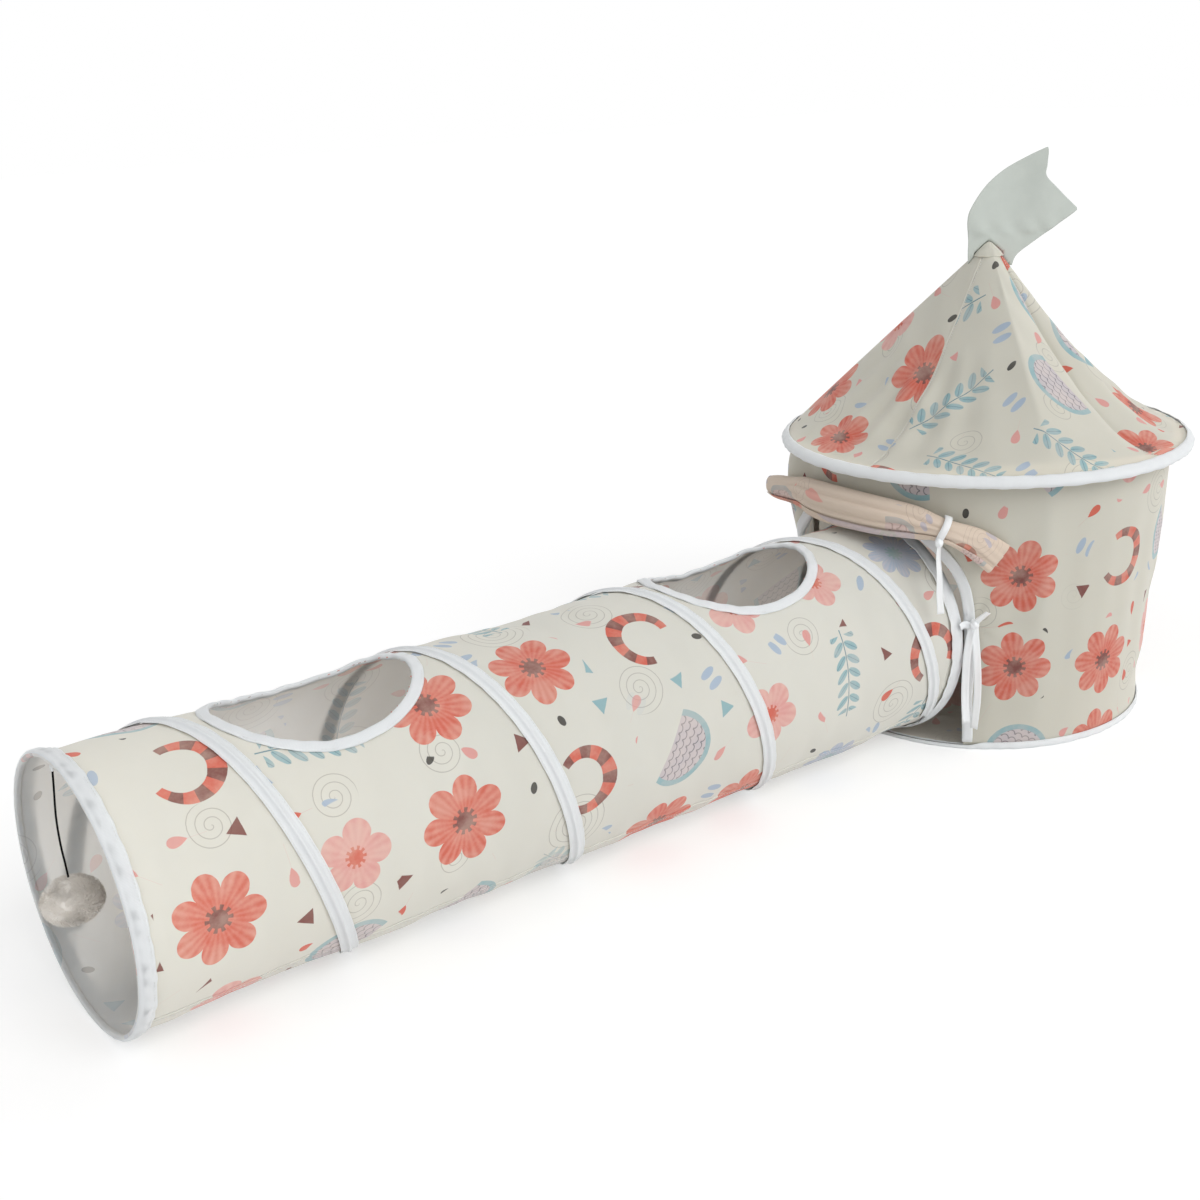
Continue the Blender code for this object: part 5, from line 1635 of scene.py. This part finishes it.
def rods_and_sleeves(rod, lining):
    """Flexible rods inside the wall and under the roof, the wall ones in sewn channels."""
    for number in range(1, RODS + 1):
        angle = TURN * (number - 1) / RODS
        top = float(wall_top(np.array(angle)))
        z = np.linspace(0.0096, top - 0.0045, 24)
        line = polar(wall_lean(z, top) - 0.0026, np.full_like(z, angle), z)
        bar = fold_with_tent(round_wire(f"wall_rod_{number}_bar", line, ROD_RADIUS, rod))
        dressed(bar, f"wall_rod_{number}", "glass_fibre")
        under = -0.0011
        along = np.linspace(roof_line(WALL_TOP_RADIUS - 0.0041, under), roof_line(0.0125, under), 24)
        line = polar(roof_radius(along, under), np.full_like(along, angle), roof_height(along, under))
        bar = fold_with_roof(round_wire(f"roof_rod_{number}_bar", line, ROD_RADIUS, rod))
        dressed(bar, f"roof_rod_{number}", "glass_fibre")
        cover = fold_with_tent(wall_sleeve(number, angle, top, lining))
        dressed(cover, f"rod_sleeve_{number}", "inside")


def flag(veil):
    """A swallow-tailed pennant of thin stiff cloth, sewn on behind the point."""
    stand = ROOF_SKIN + 0.0011
    tip = float(roof_height(roof_line(0.0, stand), stand)) + 0.0006
    left = [(-0.0236, -0.0270), (-0.0240, -0.0140), (-0.0240, 0.0000), (-0.0258, 0.0220), (-0.0215, 0.0370),
            (-0.0060, 0.0590), (0.0150, 0.0765), (0.0400, 0.0900), (0.0590, 0.0985), (0.0610, 0.0992)]
    right = [(0.0275, -0.0310), (0.0330, -0.0190), (0.0520, -0.0050), (0.0800, 0.0140), (0.0965, 0.0255),
             (0.0999, 0.0295), (0.0950, 0.0350), (0.0760, 0.0530), (0.0620, 0.0675), (0.0622, 0.0800),
             (0.0630, 0.0945), (0.0622, 0.0990)]
    rows, columns, fine = 72, 56, 400
    spots = np.linspace(0, fine - 1, rows)
    left, right = (at_spots(spots, np.arange(fine), curve_through(edge, fine)) for edge in (left, right))
    share = np.linspace(0, 1, columns)
    h, z = (left[:, i:i + 1] * (1 - share) + right[:, i:i + 1] * share for i in range(2))
    turn = math.radians(-35.3)
    along = np.array((math.cos(turn), math.sin(turn), 0.0))
    back = np.array((-math.sin(turn), math.cos(turn), 0.0))
    rise = np.clip((z + 0.005) / 0.1, 0, 1)
    wave = 0.0050 * np.sin(h * 62 + 0.6) * rise + 0.0016 * np.sin(h * 120 - z * 55) * rise ** 0.5
    foot = np.exp(-(np.clip(z, 0, 1) / 0.018) ** 2) * smooth_step(z, -0.002, 0.006)
    pleat = 0.0012 * np.sin(h * 230 + z * 90) * foot
    near, far = np.full_like(z, 0.0005), np.full_like(z, 0.0600)
    for _ in range(18):
        radius = (near + far) / 2
        behind = np.sqrt(np.clip(radius ** 2 - h ** 2, 0.0, None))
        spot = h[..., None] * along + behind[..., None] * back
        surface = roof_cloth(np.arctan2(spot[..., 1], spot[..., 0]), roof_line(radius, 0.0))[..., 2]
        surface = np.maximum(surface, np.where(radius < CAP_RADIUS, tip - 0.956 * radius, 0.0))
        over = surface < z + tip
        near, far = np.where(over, near, radius), np.where(over, radius, far)
    hug = np.sqrt(np.clip(near ** 2 - h ** 2, 0.0, None)) + 0.0009
    low = smooth_step(0.010 - z, 0.0, 0.010)
    points = h[..., None] * along + (hug * low + (wave + pleat) * (1 - 0.8 * low))[..., None] * back
    points[..., 2] += z + tip
    faces = grid_faces(rows, columns)
    uvs = corner_uvs(h, z, faces)
    return solid_cloth(new_object("flag_cloth", points.reshape(-1, 3), faces, uvs, (veil,)), FLAG_THICK)


def puff(name, centre, fluff):
    """A soft tufted ball: a lumpy core under many fine curved strands."""
    draw = np.random.default_rng(31)
    rows, columns = 30, 48
    size = np.array((0.028, 0.028, 0.0215))
    theta, phi = round_grid(0.03, math.pi - 0.03, rows, columns)
    lumps = (0.03 * np.sin(3 * phi + 2 * theta) + 0.02 * np.sin(5 * theta - 2 * phi + 1)
             + 0.01 * np.sin(7 * phi + 4 * theta))
    form = ball_form(theta, phi, (1.0, 1.0, 1.0))
    points = [(form * size * (0.84 + lumps)[..., None]).reshape(-1, 3) + centre]
    faces = [face[::-1] for face in grid_faces(rows, columns, across=True) + end_caps(rows, columns)]
    start = rows * columns
    for _ in range(7600):
        way = draw.normal(size=3)
        way /= np.linalg.norm(way)
        side = np.cross(way, draw.normal(size=3))
        side /= np.linalg.norm(side)
        comb = np.array((math.sin(5 * way[2] + 3 * way[0]), math.sin(4 * way[0] + 2 * way[1] + 1),
                         math.sin(6 * way[1])))
        bend = comb * 0.22 + side * draw.uniform(-0.10, 0.10)
        bend -= way * way.dot(bend)
        spots = [way * 0.76, way * 0.86 + bend * 0.3, way * 0.93 + bend * 0.7,
                 way * draw.uniform(0.93, 1.0) + bend]
        a, b, c, end = [spot / max(1.0, np.linalg.norm(spot)) * size for spot in spots]
        w = side * 0.00016
        points.append(np.array([a - w, a + w, b - w, b + w, c - w, c + w, end]) + centre)
        faces += [(start, start + 1, start + 3, start + 2), (start + 2, start + 3, start + 5, start + 4),
                  (start + 4, start + 5, start + 6)]
        start += 7
    return new_object(name, np.concatenate(points), faces, None, (fluff,))


def toy(elastic, fluff, white):
    """A puffy ball on a black elastic cord, hung from a small loop of tape."""
    x, top, thick, reach = MOUTH_X + 0.0015, 0.2429, 0.0018, 0.0215
    sway = np.array((0.0, 0.304, 0.652, 0.913, 1.0, 0.957, 0.783, 0.652)) * 0.0046
    route = np.stack([x - sway, -sway / 3, np.linspace(top, top - 0.096, 8)], 1)
    line = curve_through(route, 40)
    cord = round_wire("toy_elastic", line, thick / 2, elastic)
    ball = puff("toy_puff", line[-1] + (0, 0, -0.0003 - reach), fluff)
    for obj, node, slot in ((cord, "toy_cord", "elastic"), (ball, "toy_ball", "fluff")):
        dressed(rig.ride(obj, "toy"), node, slot)
    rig.cord(cord, exit=list(line[0]), length=0.0963, diameter=thick, far_end="knot", stiffness="limp",
            lay="hanging", path=[list(p) for p in line], with_pieces=[ball])
    centre = np.array((x, 0.0, top + 0.0003 + 0.0030))
    ring = [[centre + np.array((s, math.sin(t) * r, math.cos(t) * r)) for s, r in
             ((-0.0010, 0.0026), (0.0, 0.0025), (0.0010, 0.0026), (0.0010, 0.0030), (0.0, 0.0031),
              (-0.0010, 0.0030))]
            for t in full_turn(32)]
    loop = swept("toy_tape_loop", ring, lambda r, c: (r * 0.0006, c * 0.0006), white)
    dressed(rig.ride(loop, "toy_hook"), "toy_loop", "tape")


def floor_cloth(lining):
    """The tent's round cloth floor, lying slack on the ground with its edge in the foot tape."""
    rows, columns = 46, 160
    radius, angle = round_grid(0.0010, FLOOR_RADIUS, rows, columns)
    x, y = radius * np.cos(angle), radius * np.sin(angle)
    free = 1 - (radius / FLOOR_RADIUS) ** 6
    ridge = 1 - np.abs(np.sin(x * 17 + 3 * np.sin(y * 13 + 1) + 0.6))
    other = 1 - np.abs(np.sin(y * 21 + 2.5 * np.sin(x * 15 + 2)))
    fine = 1 + np.sin(x * 60) * np.sin(y * 55)
    z = 0.0007 + free * (0.0021 * ridge ** 5 + 0.0016 * other ** 6 + 0.0003 * fine)
    faces = grid_faces(rows, columns, across=True) + [tuple(range(columns))]
    uvs = corner_uvs(x + 0.3, y + 0.7, faces)
    return cloth_sheet("floor_cloth", np.stack([x, y, z], -1), faces, uvs, (lining,), TAPE_THICK)


def small_parts(flap_print, lining, white, rod, veil, elastic, fluff, steel):
    flap = dressed(fold_with_tent(rolled_flap(flap_print), FLAP_KEEP), "door_flap_roll", "print")
    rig.sheet(flap, flat=(0.33, 0.26), held="folded", rests_on=["flap_tie_ribbon"])
    tie, _ = [fold_with_tent(piece, FLAP_KEEP) for piece in flap_tie(white)]
    dressed(tie, "flap_tie", "tape")
    for name, side in (("tunnel_tie_right", -1.0), ("tunnel_tie_left", 1.0)):
        tie, *_ = [fold_with_tent(piece) for piece in tunnel_tie(name, side, white)]
        dressed(tie, name, "tape")
    rods_and_sleeves(rod, lining)
    pennant = dressed(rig.ride(flag(veil), "apex"), "flag", "veil")
    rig.sheet(pennant, flat=(0.13, 0.12), held="stretched", rests_on=["cap_cloth"], area=0.0106)
    toy(elastic, fluff, white)
    ground = dressed(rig.ride(floor_cloth(lining), "tent_base"), "tent_floor", "inside")
    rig.sheet(ground, flat=(2 * FLOOR_RADIUS, 2 * FLOOR_RADIUS), held="laid", rests_on=["foot_tape"],
             area=math.pi * FLOOR_RADIUS ** 2)
    plastic = grained("moulded_plastic", srgb(226, 226, 222), srgb(206, 206, 200), 0.5, 300.0)
    for node in ("apex_hub", "base_ring_wire", "base_ring_ferrule", "roof_ring_wire", "roof_ring_ferrule"):
        materials = frame["nodes"][node].data.materials
        materials.clear()
        materials.append(plastic if node == "apex_hub" else steel)


# Floor and light
def ray_kinds(tree):
    """1 for a ray from the camera, a reflection or through something clear."""
    path = tree.nodes.new("ShaderNodeLightPath")
    seen, glossy, through = (Flow(tree, path.outputs[f"Is {kind} Ray"])
                             for kind in ("Camera", "Glossy", "Transmission"))
    return seen, seen.most(glossy).most(through)


def white_stage():
    """A plain white floor that keeps the shadow, on a white background."""
    size = 14.0
    floor = new_object("floor", [(-size, -size, 0), (size, -size, 0), (size, size, 0), (-size, size, 0)],
                       [(0, 1, 2, 3)], None, (floor_paper(),), smooth=False)
    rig.stage(floor)


def floor_paper():
    look = Sheet("floor_paper", rough=0.95, Specular_IOR_Level=0.0)
    grain = look.noise(look.place("Object"), 40.0, 3.0)
    seen, shown = ray_kinds(look.tree)
    colour = look.mix(grain, (0.90, 0.90, 0.90), (0.88, 0.88, 0.885))
    colour = look.mix(seen, colour, (0.60, 0.60, 0.60))
    look.plug((1.0, 1.0, 1.0), look.shader.inputs["Emission Color"])
    look.plug(shown * 0.46, look.shader.inputs["Emission Strength"])
    return look.finish(colour)


def lights():
    world = bpy.data.worlds.new("studio")
    bpy.context.scene.world = world
    world.use_nodes = True
    tree = world.node_tree
    back = tree.nodes["Background"]
    _, shown = ray_kinds(tree)
    spread = tree.nodes.new("ShaderNodeMapRange")
    spread.inputs["To Min"].default_value = 0.62
    spread.inputs["To Max"].default_value = 1.0
    tree.links.new(shown.socket, spread.inputs["Value"])
    tree.links.new(spread.outputs[0], back.inputs["Strength"])
    back.inputs["Color"].default_value = (1.0, 1.0, 1.0, 1.0)
    for name, energy, angle, turn in (("key", 1.45, 40.0, (0.93, 0.0, 0.17)),
                                      ("fill", 0.30, 60.0, (1.05, 0.10, -1.0))):
        lamp = bpy.data.lights.new(name, "SUN")
        lamp.energy, lamp.angle = energy, math.radians(angle)
        obj = bpy.data.objects.new(name, lamp)
        obj.rotation_euler = turn
        bpy.context.scene.collection.objects.link(obj)
    bpy.context.scene.view_settings.view_transform = "Standard"


printed = print_cloth("tunnel_print", 1.0, CREAM)
printed_inside = print_cloth("tunnel_print_wrong_side", 0.55, CREAM, (250, 247, 244), 1.0)
tent_print = print_cloth("tent_print", 1.0, TENT_CREAM)
tent_inside = print_cloth("tent_print_wrong_side", 0.50, TENT_CREAM, (248, 242, 235), 1.0)
tent_lining = print_cloth("tent_print_lining", 0.45, TENT_CREAM, (246, 240, 232), 0.0)
flap_print = print_cloth("flap_print_wrong_side", 0.60, TENT_CREAM, (209, 168, 148), 0.25)
tape_white = tape_cloth("binding_tape", srgb(243, 247, 249))
thread = grained("sewing_thread", srgb(240, 240, 238), srgb(214, 216, 218), 0.7, 2400.0,
                 Specular_IOR_Level=0.3)
steel = wire_steel()
white_stage()
lights()
seam_edge = tape_cloth("seam_edge", srgb(214, 210, 196))
rod = grained("glass_fibre_rod", srgb(214, 210, 196), srgb(196, 190, 172), 0.45, 900.0)
tunnel(printed, printed_inside, tape_white, thread, steel)
tent(tent_print, tent_inside, tape_white, thread, seam_edge)
veil = grained("flag_veil", srgb(196, 202, 196), srgb(178, 185, 179), 0.75, 1400.0)
elastic = grained("black_elastic", srgb(14, 14, 15), srgb(6, 6, 7), 0.8, 2600.0, 0.4, Specular_IOR_Level=0.1)
fluff = grained("puffy_fibre", srgb(244, 240, 234), srgb(236, 231, 224), 0.95, 500.0, 0.05, Sheen_Weight=0.4,
                Subsurface_Weight=0.3, Subsurface_Scale=0.005, Subsurface_Radius=(1.0, 0.98, 0.96))
small_parts(flap_print, tent_lining, tape_white, rod, veil, elastic, fluff, steel)

with open("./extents.json", "w") as out:
    json.dump({"cad": [list(c) for c in cad_box], "visual": [list(c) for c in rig.bounds()]}, out)
